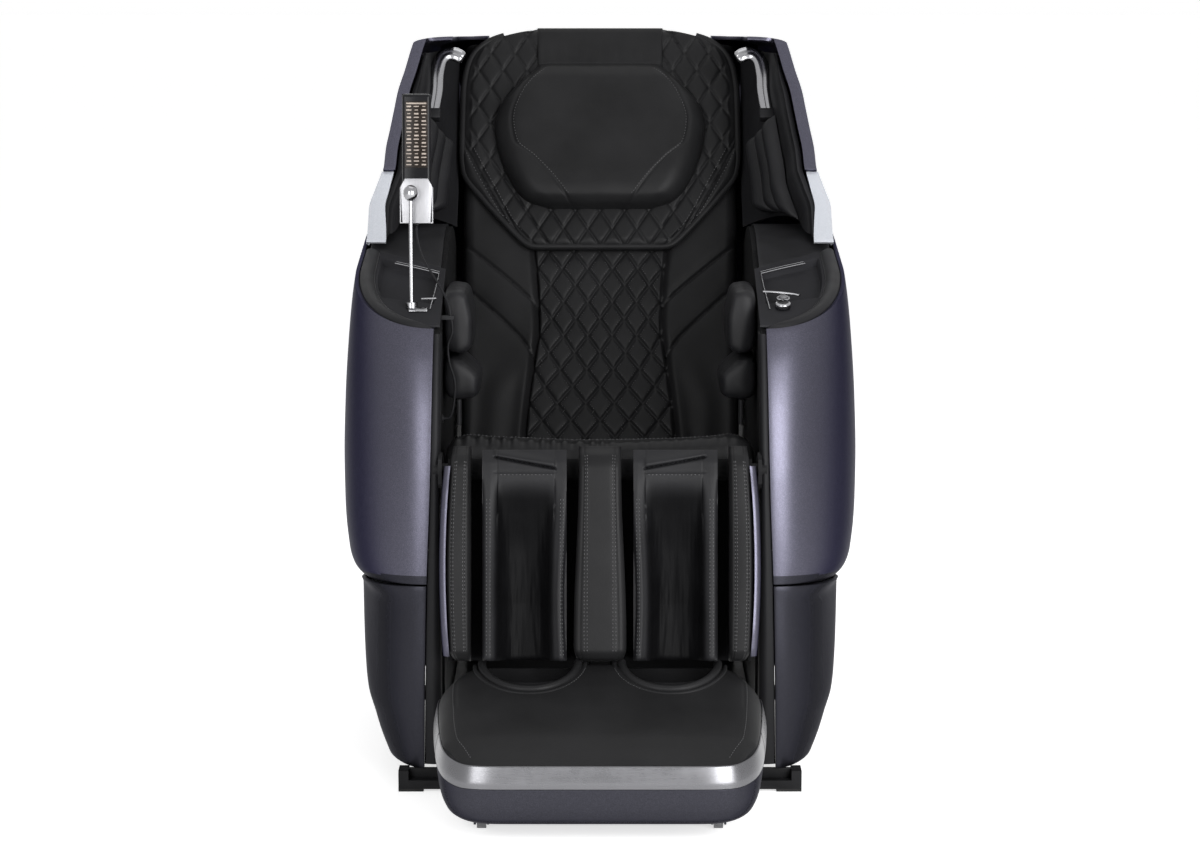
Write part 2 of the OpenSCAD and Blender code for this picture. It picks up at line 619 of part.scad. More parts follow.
// Air bags on the liners: pads with rounded faces, columns back, rows up
airbag_gap = 0.4;
function airbag(y0, y1, z0, z1, depth, lean) = [for (v = [0:6]) [for (u = [0:6])
    let (a = u / 6, b = v / 6, h = min(1, bulge(min(a, 1 - a) * 4) * bulge(min(b, 1 - b) * 4)))
    [cabin_half_w - airbag_gap - 3 - (depth - 3) * h, mix(y0, y1, a), mix(z0, z1, b) + lean * a]]];
module airbag_pad(y0, y1, z0, z1, depth, lean) {
    near = airbag(y0, y1, z0, z1, depth, lean);
    far = [for (row = near) [for (p = row) [cabin_half_w - airbag_gap, p[1], p[2]]]];
    slab(far, near);
}
bags_top = arm_line(-115) - 1.5;                     // upper bag's front corner
upper_bag_h = 108;
lower_bag_h = 72;
module arm_side_airbags() {
    split = bags_top - upper_bag_h;
    airbag_pad(-200, -30, split, bags_top, 52, 12);
    airbag_pad(-200, -40, split - 2 - lower_bag_h, split - 2, 62, 0);
    for (y = [-190, -172]) translate([cabin_half_w - airbag_gap - 26, y, split - lower_bag_h - 40])
        cylinder(r = 4, h = 42);
}
module arm_airbags() {
    color("#222226") {
        arm_side_airbags();
        left_of() arm_side_airbags();
    }
}

// ---------- remote and its stand ----------

socket_h = 16;
socket_floor = 4;                                    // the rod stands this far above the console
socket_sink = 6;
eye_r = 10;
ear_t = 5;
ear_gap = 0.3;
pin_r = 4;
holder_lean = 6;
holder_wall = 2;
holder_below = 48;
holder_above = 24;
holder_y = 20;                                       // holder's front behind the tilt pin
holder_dx = 8;                                       // holder's middle beside the rod
relief_len = 6;
pin_z = plate_z(-stand_y) + rod_len;
holder_in_w = remote_w + 2 * seat_gap;
holder_in_t = remote_t + 2 * seat_gap;
remote_y = holder_y + holder_wall + seat_gap;
remote_z = -holder_below + holder_wall + seat_gap + 1;

module at_stand() { translate([-stand_x, -stand_y, 0]) children(); }
module at_holder() { translate([-stand_x, -stand_y, pin_z]) rotate([-holder_lean, 0, 0]) children(); }

module stand_socket() {
    color("silver") difference() {
        at_stand() translate([0, 0, plate_z(-stand_y) - socket_sink]) cylinder(r1 = 13, r2 = 10, h = socket_h + socket_sink);
        at_stand() translate([0, 0, plate_z(-stand_y) + socket_floor]) cylinder(r = rod_r + run_gap, h = socket_h);
        on_arm(-stand_x, -stand_y) translate([-20, -20, seat_gap - 20]) cube([40, 40, 20]);
    }
}
module stand_rod() {
    foot = plate_z(-stand_y) + socket_floor + seat_gap;
    color("silver") at_stand() {
        difference() {
            union() {
                translate([0, 0, foot]) cylinder(r = rod_r, h = pin_z - foot - pin_r - 1);
                translate([0, 0, pin_z]) bar_x(-5, 5, eye_r);
            }
            translate([0, 0, pin_z]) bar_x(-6, 6, pin_r + run_gap);
        }
    }
}
module remote_holder() {
    color("#c8c8cc") at_holder() {
        for (s = [-1, 1]) translate([s > 0 ? 5 + ear_gap : -5 - ear_gap - ear_t, 0, 0]) {
            bar_x(0, ear_t, eye_r);
            translate([0, 0, -eye_r]) cube([ear_t, holder_y + holder_wall / 2, 2 * eye_r]);
        }
        bar_x(-5 - ear_gap - ear_t, 5 + ear_gap + ear_t, pin_r);
        translate([holder_dx, 0, 0]) difference() {
            translate([-holder_in_w / 2 - holder_wall, holder_y, -holder_below])
                cube([holder_in_w + 2 * holder_wall, holder_in_t + 2 * holder_wall, holder_below + holder_above]);
            translate([-holder_in_w / 2, holder_y + holder_wall, -holder_below + holder_wall])
                cube([holder_in_w, holder_in_t, holder_below + holder_above]);
            translate([0, holder_y + holder_wall + holder_in_t / 2, -holder_below - 1]) cylinder(r = 5, h = 10);
        }
    }
}
module remote_body() {
    color("#0c0c10") at_holder() translate([holder_dx, remote_y, remote_z]) {
        difference() {
            translate([-remote_w / 2, 0, 0]) cube([remote_w, remote_t, remote_len]);
            translate([-remote_w / 2 + 5, -1, remote_len * 0.42]) cube([remote_w - 10, 2, remote_len * 0.52]);
        }
        translate([0, remote_t / 2, -relief_len]) cylinder(r = 3.5, h = relief_len + 1);
    }
}
module remote_screen() {
    color("#504038") at_holder() translate([holder_dx - remote_w / 2 + 5.2, remote_y + 0.2, remote_z + remote_len * 0.42 + 0.2])
        cube([remote_w - 10.4, 0.7, remote_len * 0.52 - 0.4]);
}

// Route of the remote's cord, from under the holder to the gland on the liner
cord_route = [[-294, -186, 887], [-294, -186, 876], [-291, -187, 858], [-284, -190, 838], [-272, -198, 816],
    [-256, -212, 792], [-243, -226, 768], [-238, -232, 745], [-236, -233, 722], [-243, -233, 700],
    [-241, -233, 672], [-233, -233, 644], [-233, -233, 618], [-236, -233, 596], [-241, -233, 584], [-246, -233, 582],
    [-251, -233, 582]];
cord_steps = 4;
// Gland where the cord enters the liner, and a clip on the liner below the arm
module cord_fittings() {
    last = cord_route[len(cord_route) - 1];
    clip = cord_route[7];
    color("#0a0a0c") {
        translate(last) bar_x(-cabin_half_w + 0.2 - last[0], 0, 6);
        difference() {
            translate([-cabin_half_w + seat_gap, clip[1] - 5, clip[2] - 3]) cube([clip[0] + 4 + cabin_half_w, 10, 6]);
            translate(clip - [0, 0, 6]) cylinder(r = cord_d / 2 + 1.2, h = 12);
        }
    }
}
module remote_cord() { color("#0a0a0c") swept_tube(spline(cord_route, cord_steps), cord_d); }

// ---------- back, in its own frame: origin on the recline shaft, +Z along the back, +Y to the rear ----------

hub_r = 20;
torque_half_w = 236;
tube_x = 206;                                        // side tubes of the back frame
tube_w = 20;
tube_y = 58;
tube_d = 28;
bars_y = 52.3;
bracket_x = 150;                                     // inner side of the brackets that carry the cushion
back_top_z = back_len + 18;                          // top of the rear shell's crown
crown_y = 22;
shell_half_w = 199.7;
low_half_w = 242;
sweep_r = pod_r + sweep_gap;

tubes_top = back_len - 30;                           // top of the side tubes
bar_zs = [96, 420, tubes_top - 57];                  // lower edges of the cross bars
bar_w = 24;
bar_d_y = 30;
module back_frame() {
    slot = lever_pin_r + 1.2;
    color("#3a3a40") at_recline() difference() {
        union() {
            bar_x(-torque_half_w, torque_half_w, hub_r);
            for (s = [-1, 1]) {
                translate([s * tube_x - tube_w / 2, 0, -hub_r + 2]) cube([tube_w, tube_y + tube_d, 46]);
                translate([s * tube_x - tube_w / 2, tube_y, 20]) cube([tube_w, tube_d, tubes_top - 20]);
                // Stays that carry the rear shell
                for (z = [bar_zs[0] + bar_w + 6, bar_zs[2] - bar_w - 16])
                    translate([s * shell_half_w - (s > 0 ? tube_w : 0), tube_y, z])
                        cube([tube_w, shell_y - shell_wall - seat_gap - tube_y, bar_w]);
            }
            rotate([back_lean + recline_range / 2, 0, 0]) translate([-6, -14, -lever_r - 18]) cube([12, 28, lever_r + 18]);
        }
        bar_x(-torque_half_w - 1, torque_half_w + 1, recline_shaft_r + run_gap);
        rotate([back_lean + recline_range / 2, 0, 0]) {
            for (d = [-6, 6]) translate([0, 0, -lever_r + d]) bar_x(-8, 8, slot);
            translate([-8, -slot, -lever_r - 6]) cube([16, 2 * slot, 12]);
        }
    }
}

// Cross bars between the side tubes, with the brackets that carry the cushion
module back_cross_bars() {
    inner = tube_x - tube_w / 2;
    color("#3a3a40") at_recline() for (z = bar_zs) {
        translate([-inner, bars_y, z]) cube([2 * inner, bar_d_y, bar_w]);
        for (x = [bracket_x, -inner]) translate([x, cushion_back_y + seat_gap, z])
            cube([inner - bracket_x, bars_y - cushion_back_y, bar_w]);
    }
}

// Side outline of the rear shell: flat back, rounded crown, drawn in by inset
function shell_profile(inset, low) = concat([[shell_y - inset, low]],
    [for (a = [0:10:90]) [crown_y + (shell_y - crown_y - inset) * cos(a),
        back_top_z - 60 + (60 - inset) * sin(a)]],
    [[-40, back_len + 2 - inset]]);
module back_shell() {
    outer = shell_profile(0, 8);
    inner = shell_profile(shell_wall, 8);
    n = len(outer);
    color("#22222a") at_recline() {
        side_plate(-shell_half_w, shell_half_w, concat(outer, [for (i = [n - 1:-1:0]) inner[i]]));
        for (s = [-1, 1]) translate([s > 0 ? shell_half_w - 1 : -low_half_w, shell_y - shell_wall, 8])
            cube([low_half_w - shell_half_w + 1, shell_wall, sqrt(sweep_r * sweep_r - shell_y * shell_y) - 12]);
        for (s = [-1, 1]) translate([s > 0 ? low_half_w - shell_wall : -low_half_w, 60, 40])
            cube([shell_wall, shell_y - 60, 340]);
    }
}

// Wings: outer half width against the distance below the back's top
function wing_x(z) = lookup(back_len - z, [[-33, 290], [67, 302], [127, 312], [146, 319], [202, 333], [239, 343],
    [276, 349], [313, 355], [349, 361], [386, 364], [390, 365], [422, 375], [458, 385], [494, 386], [512, 387],
    [527, 389]]);
accent_z = pod_r - 1;                                // height of the line between accent and wing shell
wing_top_front = [-297, back_len - 142];
accent_end = -110;
wing_gap = 0.8;
function on_sweep(y) = [y, sqrt(sweep_r * sweep_r - y * y)];
wing_front_edge = function (v) mix([-wing_front + 11, accent_z + wing_gap], wing_top_front, v);
wing_top_edge = function (u) u < 0.7 ? mix(wing_top_front, [crown_y, back_top_z], u / 0.7)
    : let (a = 90 * (u - 0.7) / 0.3) [crown_y + (shell_y - crown_y) * sin(a), back_top_z - 60 + 60 * cos(a)];
wing_rear_edge = function (v) mix(on_sweep(shell_y), [shell_y, back_top_z - 60], v);
wing_bottom_edge = function (u) u < 0.45
    ? mix([-wing_front + 11, accent_z + wing_gap], on_sweep(-90), u / 0.45)
    : on_sweep(mix(-90, shell_y, (u - 0.45) / 0.55));
wing_rear_x = shell_half_w + 0.3;
wing_top_x = 252;
wing_us = [0, 0.08, 0.2, 0.34, 0.48, 0.6, 0.7, 0.76, 0.82, 0.88, 0.94, 1];
wing_vs = [0, 0.15, 0.32, 0.5, 0.68, 0.83, 0.95, 0.97, 0.985, 1];
function wing_skin(inset) = [for (v = wing_vs) [for (u = wing_us)
    let (p = patch(wing_front_edge, wing_rear_edge, wing_bottom_edge, wing_top_edge, u, v),
         y = p[0], s = clamp01((y - crown_y) / (shell_y - crown_y)),
         side = mix(wing_rear_x, wing_x(p[1]), sqrt(max(0, 1 - s * s))),
         lid = mix(wing_top_x, wing_rear_x, clamp01((u - 0.4) / 0.15)),
         x = v < 0.95 ? side : mix(min(lid, side), side, bulge((1 - v) / 0.05)),
         drop = v >= 0.95 ? inset : 0)
    [max(wing_rear_x, x - inset * (1 - s)), y - inset * s, p[1] - drop]]];
module wing_shell() { color("#5a5870") at_recline() slab(wing_skin(0), wing_skin(shell_wall)); }
module wing_shell_right() { wing_shell(); }
module wing_shell_left() { left_of() wing_shell(); }

// Light accent under the wing's shell, tapering to the rear
module wing_accent() {
    us = [0, 0.12, 0.3, 0.5, 0.75, 1];
    vs = [0, 0.25, 0.5, 0.75, 1];
    function grid(inset) = [for (v = vs) [for (u = us)
        let (y = mix(-wing_front + mix(0, 11, v), accent_end - 30, u), z = mix(on_sweep(y)[1] + 1, accent_z, v))
        [wing_x(z) - inset + 2 * (1 - u), y, z]]];
    color("#d2d4dc") at_recline() slab(grid(0), grid(shell_wall));
}
module wing_accents() { wing_accent(); left_of() wing_accent(); }

// Padded inside of a wing: a front roll, thinner towards the top, filling the corner beside the cushion
liner_share = 2.5;                                   // how late the padding turns in to the cushion
function wing_pad_at(z) = wing_pad * lookup(back_len - z, [[67, 0.28], [127, 0.39], [177, 0.67], [227, 0.94],
    [267, 1]]);
function wing_out_x(z) = wing_x(z) - shell_wall - wing_liner_gap;
// Padding's inner surface at a place along and across the wing
function wing_in_x(y, z) = let (share = clamp01((y + wing_front - 42) / (wing_front - 42 - cushion_y)))
    mix(wing_out_x(z) - wing_pad_at(z), back_half_w + 10, pow(share, liner_share));
wing_liner_gap = 3.5;
wing_boss = [-150, back_len - 267];                             // where a boss seats the padding on the shell
wing_boss_r = 8;

module wing_liner() {
    us = [0, 0.04, 0.12, 0.26, 0.4, 0.55, 0.7, 0.85, 1];
    vs = [0, 0.14, 0.28, 0.42, 0.56, 0.68, 0.8, 0.9, 1];
    function y_at(u, v) = mix(mix(-wing_front + 8, wing_top_front[0] + 6, v), -cushion_y, u);
    function low(y) = on_sweep(y)[1] + 2;
    function high(y) = mix(wing_top_front[1], back_top_z, (y - wing_top_front[0]) / (crown_y - wing_top_front[0]))
        - shell_wall - 16;
    function z_at(u, v) = let (y = y_at(u, v)) mix(low(y), high(y), v);
    function in_x(u, v) = let (z = z_at(u, v), roll = wing_pad_at(z) * (0.55 + 0.45 * bulge(u / 0.12)))
        u < 0.12 ? wing_out_x(z) - roll : wing_in_x(y_at(u, v), z);
    outer = [for (v = vs) [for (u = us) [wing_out_x(z_at(u, v)), y_at(u, v), z_at(u, v)]]];
    inner = [for (v = vs) [for (u = us) [in_x(u, v), y_at(u, v), z_at(u, v)]]];
    boss_x = wing_out_x(wing_boss[1] + wing_boss_r);
    color("#1c1c20") at_recline() {
        slab(outer, inner);
        translate([0, wing_boss[0], wing_boss[1]]) bar_x(boss_x - 6, boss_x + wing_liner_gap - 2 * seat_gap, wing_boss_r);
    }
}
module wing_liner_right() { wing_liner(); }
module wing_liner_left() { left_of() wing_liner(); }

// Silver shoulder grips on the wings' inner sides
grip_z = back_len - 133;                             // height of the grips' bend
grip_path = [[236, -222, grip_z - 6], [252, -223, grip_z + 2], [267, -224, grip_z], [277, -225, grip_z - 14],
    [282, -225, grip_z - 39], [283, -225, grip_z - 69], [288, -225, grip_z - 106]];
grip_r = 9;
module grip() { color("silver") at_recline() swept_tube(spline(grip_path, 3), 2 * grip_r); }
module shoulder_grips() { grip(); left_of() grip(); }

// Shoulder air bags: three upright pleats a side on the wings' padding
bag_gap = 2;
module shoulder_bags() {
    function bag(k, depth) = let (y0 = -256 + 44 * k, z1 = grip_z - 128 + 4 * k)
        [for (v = [0:6]) [for (u = [0:4]) let (a = u / 4, b = v / 6, y = mix(y0, y0 + 38, a),
            z = mix(on_sweep(y)[1] + 8, z1, b),
            h = bulge(min(a, 1 - a) * 2.4) * bulge(min(b, 1 - b) * 5))
            [wing_in_x(y, z) - bag_gap - (depth == 0 ? 0 : 3 + depth * h), y, z]]];
    color("#202024") at_recline() for (k = [0:2]) slab(bag(k, 0), bag(k, 22 + 5 * k));
}
module shoulder_airbags() { shoulder_bags(); left_of() shoulder_bags(); }

// Back cushion: quilted centre, two sewn channels across each side
quilt_rows = 10;
quilt_step = 37.6;
cushion_low = head_pad_z - quilt_rows * quilt_step;
cushion_top = back_len - 30;
cushion_back_y = -cushion_y + cushion_t;
function waist(z) = quilt_half_w * lookup(z, [[0, 1.26], [110, 1.18], [210, 1.06], [260, 1], [330, 1.02], [402, 1.08]]);
module back_cushion() {
    side = [0.3, 0.6, 0.88, 1];                      // shares between the centre panel and the side
    zs = concat([cushion_low - 1], [for (k = [0:quilt_rows]) cushion_low + k * quilt_step],
        [cushion_low + quilt_rows * quilt_step + 24, 560, cushion_top - 97, cushion_top]);
    cols = 19;
    function col_x(c, z) = let (w = waist(min(z, head_pad_z)), d = c - 9, s = sign(d), a = abs(d))
        a <= 5 ? w * d / 5 : s * mix(w, back_half_w, side[a - 6]);
    function proud(c, r, z) = let (a = abs(c - 9))
        r == 0 ? -16 : z > head_pad_z + 1 ? 8 : z > head_pad_z - 1 ? 0 :
        a == 9 ? -20 : a < 5 ? ((c + r) % 2 == 0 ? 0 : 8) :
        a == 5 ? 0 : let (groove = (r - a == 2 || r - a == 0) ? 0 : 8) (a == 8 ? groove - 3 : groove + 2);
    face = [for (r = [0:len(zs) - 1]) [for (c = [0:cols - 1])
        [col_x(c, zs[r]), -cushion_y + 8 - proud(c, r, zs[r]), zs[r]]]];
    color("#202024") at_recline() cushion(face, function (p) [p[0], cushion_back_y, p[2]], true);
}

// Head pad over the cushion: quilted, narrower at the bottom, rounded at the top
head_back_y = -cushion_y - seat_gap;
head_top = back_len - 7;
head_rows = 11;
head_edge = 21.5;                                    // rolled edge at the top
// Half width; the outline is given for a pad from 402 to 820
function head_w(z) = head_half_w * lookup(402 + 418 * (z - head_pad_z) / (head_top - head_pad_z), [[402, 0.5], [408, 0.53], [450, 0.69], [500, 0.86], [545, 0.985],
    [585, 1], [700, 0.995], [740, 0.975], [772, 0.93], [800, 0.8], [822, 0.48]]);
module head_pad() {
    step = (head_top - head_edge - head_pad_z - 6) / head_rows;
    zs = concat([head_pad_z, head_pad_z + 6], [for (k = [1:head_rows]) head_pad_z + 6 + k * step], [head_top]);
    cols = 23;
    face = [for (r = [0:len(zs) - 1]) [for (c = [0:cols - 1])
        let (t = (c - 11) / 11, rim = r == 0 || r == len(zs) - 1 || c == 0 || c == cols - 1,
             quilt = (c + r) % 2 == 0 ? 4 : 0)
        [t * head_w(zs[r]), head_back_y - (rim ? 3 : head_t - quilt), zs[r]]]];
    color("#202024") at_recline() cushion(face, function (p) [p[0], head_back_y, p[2]], true);
}

// Pillow with its flap over the head pad's top
pillow_back_y = head_back_y - head_t - 0.4;
pillow_top = back_len - 5;
// Half width at a distance below the flap's top edge
function pillow_w(d) = pillow_half_w * lookup(d, [[0, 0.6], [70, 0.6], [76, 0.6], [92, 0.66], [122, 0.82],
    [158, 0.96], [192, 1], [235, 0.97], [292, 0.86], [329, 0.72], [342, 0.58], [348, 0.44]]);
module head_pillow() {
    ds = [348, 342, 329, 310, 282, 247, 212, 177, 142, 112, 90, 74, 70, 36, 3, 0];
    ts = [-1, -0.97, -0.9, -0.8, -0.64, -0.44, -0.22, 0, 0.22, 0.44, 0.64, 0.8, 0.9, 0.97, 1];
    function tall(d) = lookup(d, [[0, 0.12], [3, 0.2], [70, 0.2], [74, 0.42], [90, 0.7], [112, 0.9],
        [177, 1], [282, 1], [310, 0.96], [329, 0.86], [342, 0.55], [348, 0.1]]);
    face = [for (d = ds) [for (t = ts)
        let (round_off = d < 72 ? 1 : 0.12 + 0.88 * bulge((1 - abs(t)) / 0.28))
        [t * pillow_w(d), pillow_back_y - pillow_t * tall(d) * round_off, pillow_top - d]]];
    color("#26262b") at_recline() cushion(face, function (p) [p[0], pillow_back_y, p[2]]);
}

// ---------- massage mechanism ----------

track_x = 118;
track_w = 12;
track_low = 110;
track_high = tubes_top - 67;
carriage_low = 150;
carriage_h = 60;
carriage_travel = 480;
carriage_y = 36;
kneader_y = 22;
kneader_x = 60;
kneader_shaft_r = 5;
kneader_r = 17;
kneader_arm = 55;
module massage_track() {
    color("silver") at_recline() for (s = [-1, 1])
        translate([s > 0 ? track_x : -track_x - track_w, carriage_y - 14, track_low])
            cube([track_w, bars_y - seat_gap - carriage_y + 14, track_high - track_low]);
}
module massage_carriage() {
    mid = carriage_low + carriage_h / 2;
    color("#66666c") at_recline() {
        translate([-track_x + seat_gap, carriage_y, carriage_low]) cube([2 * (track_x - seat_gap), 10, carriage_h]);
        for (x = [-kneader_x - 32, -6, kneader_x + 20])
            translate([x, kneader_y - 9, mid - 12]) cube([12, carriage_y - kneader_y + 10, 24]);
        translate([0, kneader_y, mid]) bar_x(-kneader_x - 30, kneader_x + 30, kneader_shaft_r);
    }
}
module kneading_head() {
    mid = carriage_low + carriage_h / 2;
    color("#303034") at_recline() translate([kneader_x, kneader_y, mid]) {
        difference() {
            union() {
                translate([-5, -7, -kneader_arm]) cube([10, 14, 2 * kneader_arm]);
                bar_x(-8, 8, 12);
                for (z = [-kneader_arm, kneader_arm]) translate([0, 0, z]) bar_x(-16, 16, kneader_r);
            }
            bar_x(-20, 20, kneader_shaft_r + run_gap);
        }
    }
}
module kneading_head_right() { kneading_head(); }
module kneading_head_left() { left_of() kneading_head(); }

// ---------- calf rest, in its own frame: origin on the calf shaft, +Z up along it, -Y to the front ----------

calf_bearing_r = 17;
calf_back_y = 30;
divider_half_w = 33;
outer_pad_in = 201;
flap_in = 52;
flap_out = 183;
calf_skin = 6;
slide_x = 21;                                        // two rods carry the foot box
slide_y = 13.5;
slide_r = 6;
module calf_shell() {
    color("#1a1a1e") at_calf() difference() {
        union() {
            bar_x(-calf_half_w + 9, calf_half_w - 9, calf_bearing_r);
            translate([-calf_half_w + 9, calf_back_y - calf_skin, -calf_len]) cube([2 * calf_half_w - 18, calf_skin, calf_len]);
            translate([-calf_half_w + 9, 0, -16]) cube([2 * calf_half_w - 18, calf_back_y, 24]);
            for (s = [-1, 1]) translate([s > 0 ? calf_half_w - 9 - calf_skin : -calf_half_w + 9, 2, -calf_len])
                cube([calf_skin, calf_back_y - 2, calf_len]);
            translate([-slide_x - 12, 1.8, 6 - calf_len]) cube([2 * slide_x + 24, calf_back_y - 3, 44]);
        }
        bar_x(-calf_half_w, calf_half_w, calf_shaft_r + run_gap);
        for (x = [-slide_x, slide_x]) translate([x, slide_y, -calf_len]) cylinder(r = slide_r + run_gap, h = 60);
    }
}

// Pads run from over the shaft down to the lower end, in three strips
function calf_front(z) = trough_depth + 4 + lookup(z, [[-300, -22], [-294, -8], [-280, 0], [-60, 2], [0, 0], [20, -8],
    [34, -24], [44, -30]]);
module calf_strip(x0, x1, crown) {
    step = -calf_bearing_r - 5;                      // the back steps forward here, over the bearing tube
    zs = [-calf_len + 1, -calf_len + 6, -calf_len + 20, -220, -140, -60, step - 4, step, 0, 20, 34, 44];
    ts = [0, 0.12, 0.3, 0.5, 0.7, 0.88, 1];
    face = [for (z = zs) [for (t = ts) [mix(x0, x1, t), -calf_front(z) + crown * (1 - bulge(min(t, 1 - t) * 3.2)), z]]];
    back = [for (row = face) [for (p = row) [p[0], p[2] < step - 1 ? 1.5 : -calf_bearing_r - 0.5, p[2]]]];
    slab(face, back);
}
module calf_pads() {
    color("#222226") at_calf() {
        calf_strip(-calf_half_w, -outer_pad_in, 14);
        calf_strip(outer_pad_in, calf_half_w, 14);
        calf_strip(-divider_half_w, divider_half_w, 12);
    }
}

// Lining of a trough: sewn flaps at both sides, a soft channel between, closed over at the top
module trough_lining() {
    zs = [-calf_len + 2, -270, -220, -160, -100, -60, -46, -34, -20, 8, 30];
    xs = [flap_in, 56, 62, 74, 92, 118, 144, 161, 173, 179, flap_out];
    function hollow(x) = lookup(x, [[52, 6], [56, 1], [62, 2], [74, 34], [92, 48], [118, 54], [144, 48], [161, 34],
        [173, 2], [179, 1], [183, 6]]);
    function open(z) = lookup(z, [[-60, 1], [-46, 0.5], [-34, 0.12], [-20, 0]]);
    function front(z) = trough_depth + lookup(z, [[-60, 0], [-20, 0], [8, -4], [30, -16]]);
    face = [for (z = zs) [for (x = xs) [x, -front(z) + hollow(x) * open(z), z]]];
    back = [for (row = face) [for (p = row) [p[0], p[2] > -30 ? -calf_bearing_r - 0.5 : p[1] + 10, p[2]]]];
    slab(face, back);
}
module trough_linings() { color("#1e1e22") at_calf() { trough_lining(); left_of() trough_lining(); } }

// ---------- foot box, at rest under the calf rest ----------

shell_low = 38;
trim_h = 34;
foot_rear = 396;
function rim_z(y) = lookup(-y, [[390, 176], [490, 166], [650, 140], [690, 131], [712, 127], [720, 127]]);
// Right half of the plan from the middle of the front to the middle of the rear; the front and sides
// are drawn in by draw and by the wall, the upright rear by the wall alone
function foot_half(draw, wall = 0) = let (f = foot_front_half_w, w = foot_half_w, y = -foot_front, inset = draw + wall)
    [[0, y + inset], [f - inset * 0.5, y + inset], [f + 18 - inset * 0.6, y + 6 + inset * 0.9],
     [f + 34 - inset * 0.75, y + 20 + inset * 0.75], [w - 20 - inset * 0.9, y + 44 + inset * 0.5],
     [w - 12 - inset, y + 78 + inset * 0.2], [w - 4 - inset, y + 160], [w - inset, y + 230],
     [w - 2 - inset, -foot_rear - 40], [w - 10 - inset, -foot_rear - 10 - wall * 0.5],
     [w - 24 - inset, -foot_rear - wall], [0, -foot_rear - wall]];
function foot_loop(draw, wall) = let (h = foot_half(draw, wall), n = len(h))
    concat(h, [for (i = [n - 2:-1:1]) [-h[i][0], h[i][1]]]);
function shell_inset(v) = lookup(v, [[0, 36], [0.06, 26], [0.2, 14], [0.5, 5], [1, 0]]);
// Thin-walled tub from two stacks of loops, bottom to top, with flat floors
module tub(outer, inner) {
    n = len(outer[0]);
    rows = len(outer);
    m = rows * n;
    points = concat([for (g = [outer, inner], l = g, p = l) p],
        [[0, -560, outer[0][0][2]], [0, -560, inner[0][0][2]]]);
    faces = [
        for (r = [0:rows - 2], i = [0:n - 1], k = [0:3])
            let (j = (i + 1) % n, a = r * n + i, b = r * n + j, d = a + n, e = b + n)
            if (k == 0) [a, e, b] else if (k == 1) [a, d, e]
            else if (k == 2) [a + m, b + m, e + m] else [a + m, e + m, d + m],
        for (i = [0:n - 1], k = [0:3])
            let (j = (i + 1) % n, a = (rows - 1) * n + i, b = (rows - 1) * n + j)
            if (k == 0) [2 * m, i, j] else if (k == 1) [2 * m + 1, m + j, m + i]
            else if (k == 2) [b, a, a + m] else [b, a + m, b + m]
    ];
    polyhedron(points, faces);
}
module foot_shell() {
    vs = [0, 0.06, 0.2, 0.5, 1];
    function stack(wall, low) = [for (v = vs) [for (p = foot_loop(shell_inset(v), wall))
        [p[0], p[1], mix(low, rim_z(p[1]) - trim_h - seat_gap, v)]]];
    color("#4a495a") {
        tub(stack(0, shell_low), stack(foot_wall, shell_low + foot_wall));
        for (x = [-foot_wheel_x, foot_wheel_x]) translate([x, -foot_wheel_y, 0]) {
            difference() {
                translate([-12, -foot_wheel_r, foot_wheel_r - 7]) cube([24, 2 * foot_wheel_r, shell_low + 3 - foot_wheel_r + 7]);
                translate([-foot_wheel_w / 2 - 1, -foot_wheel_r - 1, 0]) cube([foot_wheel_w + 2, 2 * foot_wheel_r + 2, shell_low - 3]);
            }
            translate([0, 0, foot_wheel_r]) bar_x(-12, 12, foot_axle_r);
        }
    }
}
foot_wheel_x = 181;
foot_wheel_y = 586;
foot_wheel_w = 14;
foot_axle_r = 4;
module foot_wheels() {
    color("#88888c") translate([0, -foot_wheel_y, foot_wheel_r])
        for (x = [-foot_wheel_x, foot_wheel_x])
            ring_x(x - foot_wheel_w / 2, x + foot_wheel_w / 2, foot_wheel_r, foot_axle_r + run_gap);
}

module foot_trim() {
    right = [for (i = [8:-1:0]) foot_half(0)[i]];
    left = [for (i = [1:8]) let (p = foot_half(0)[i]) [-p[0], p[1]]];
    path = concat(right, left);
    inner_right = [for (i = [8:-1:0]) foot_half(0, foot_wall)[i]];
    inner_left = [for (i = [1:8]) let (p = foot_half(0, foot_wall)[i]) [-p[0], p[1]]];
    inner_path = concat(inner_right, inner_left);
    function band(pts, out) = [for (d = [-trim_h, -trim_h * 0.5, 0]) [for (p = pts)
        [p[0] * (1 + out / 260), p[1], rim_z(p[1]) + d]]];
    color("silver") slab(band(inner_path, 0), band(path, 1));
}

// Sloping cover: rises to the rear, rounded at its sides, with two ankle notches
ankle_x = 109;
ankle_r = 70;
ankle_y = 452;
cover_rear = 452;
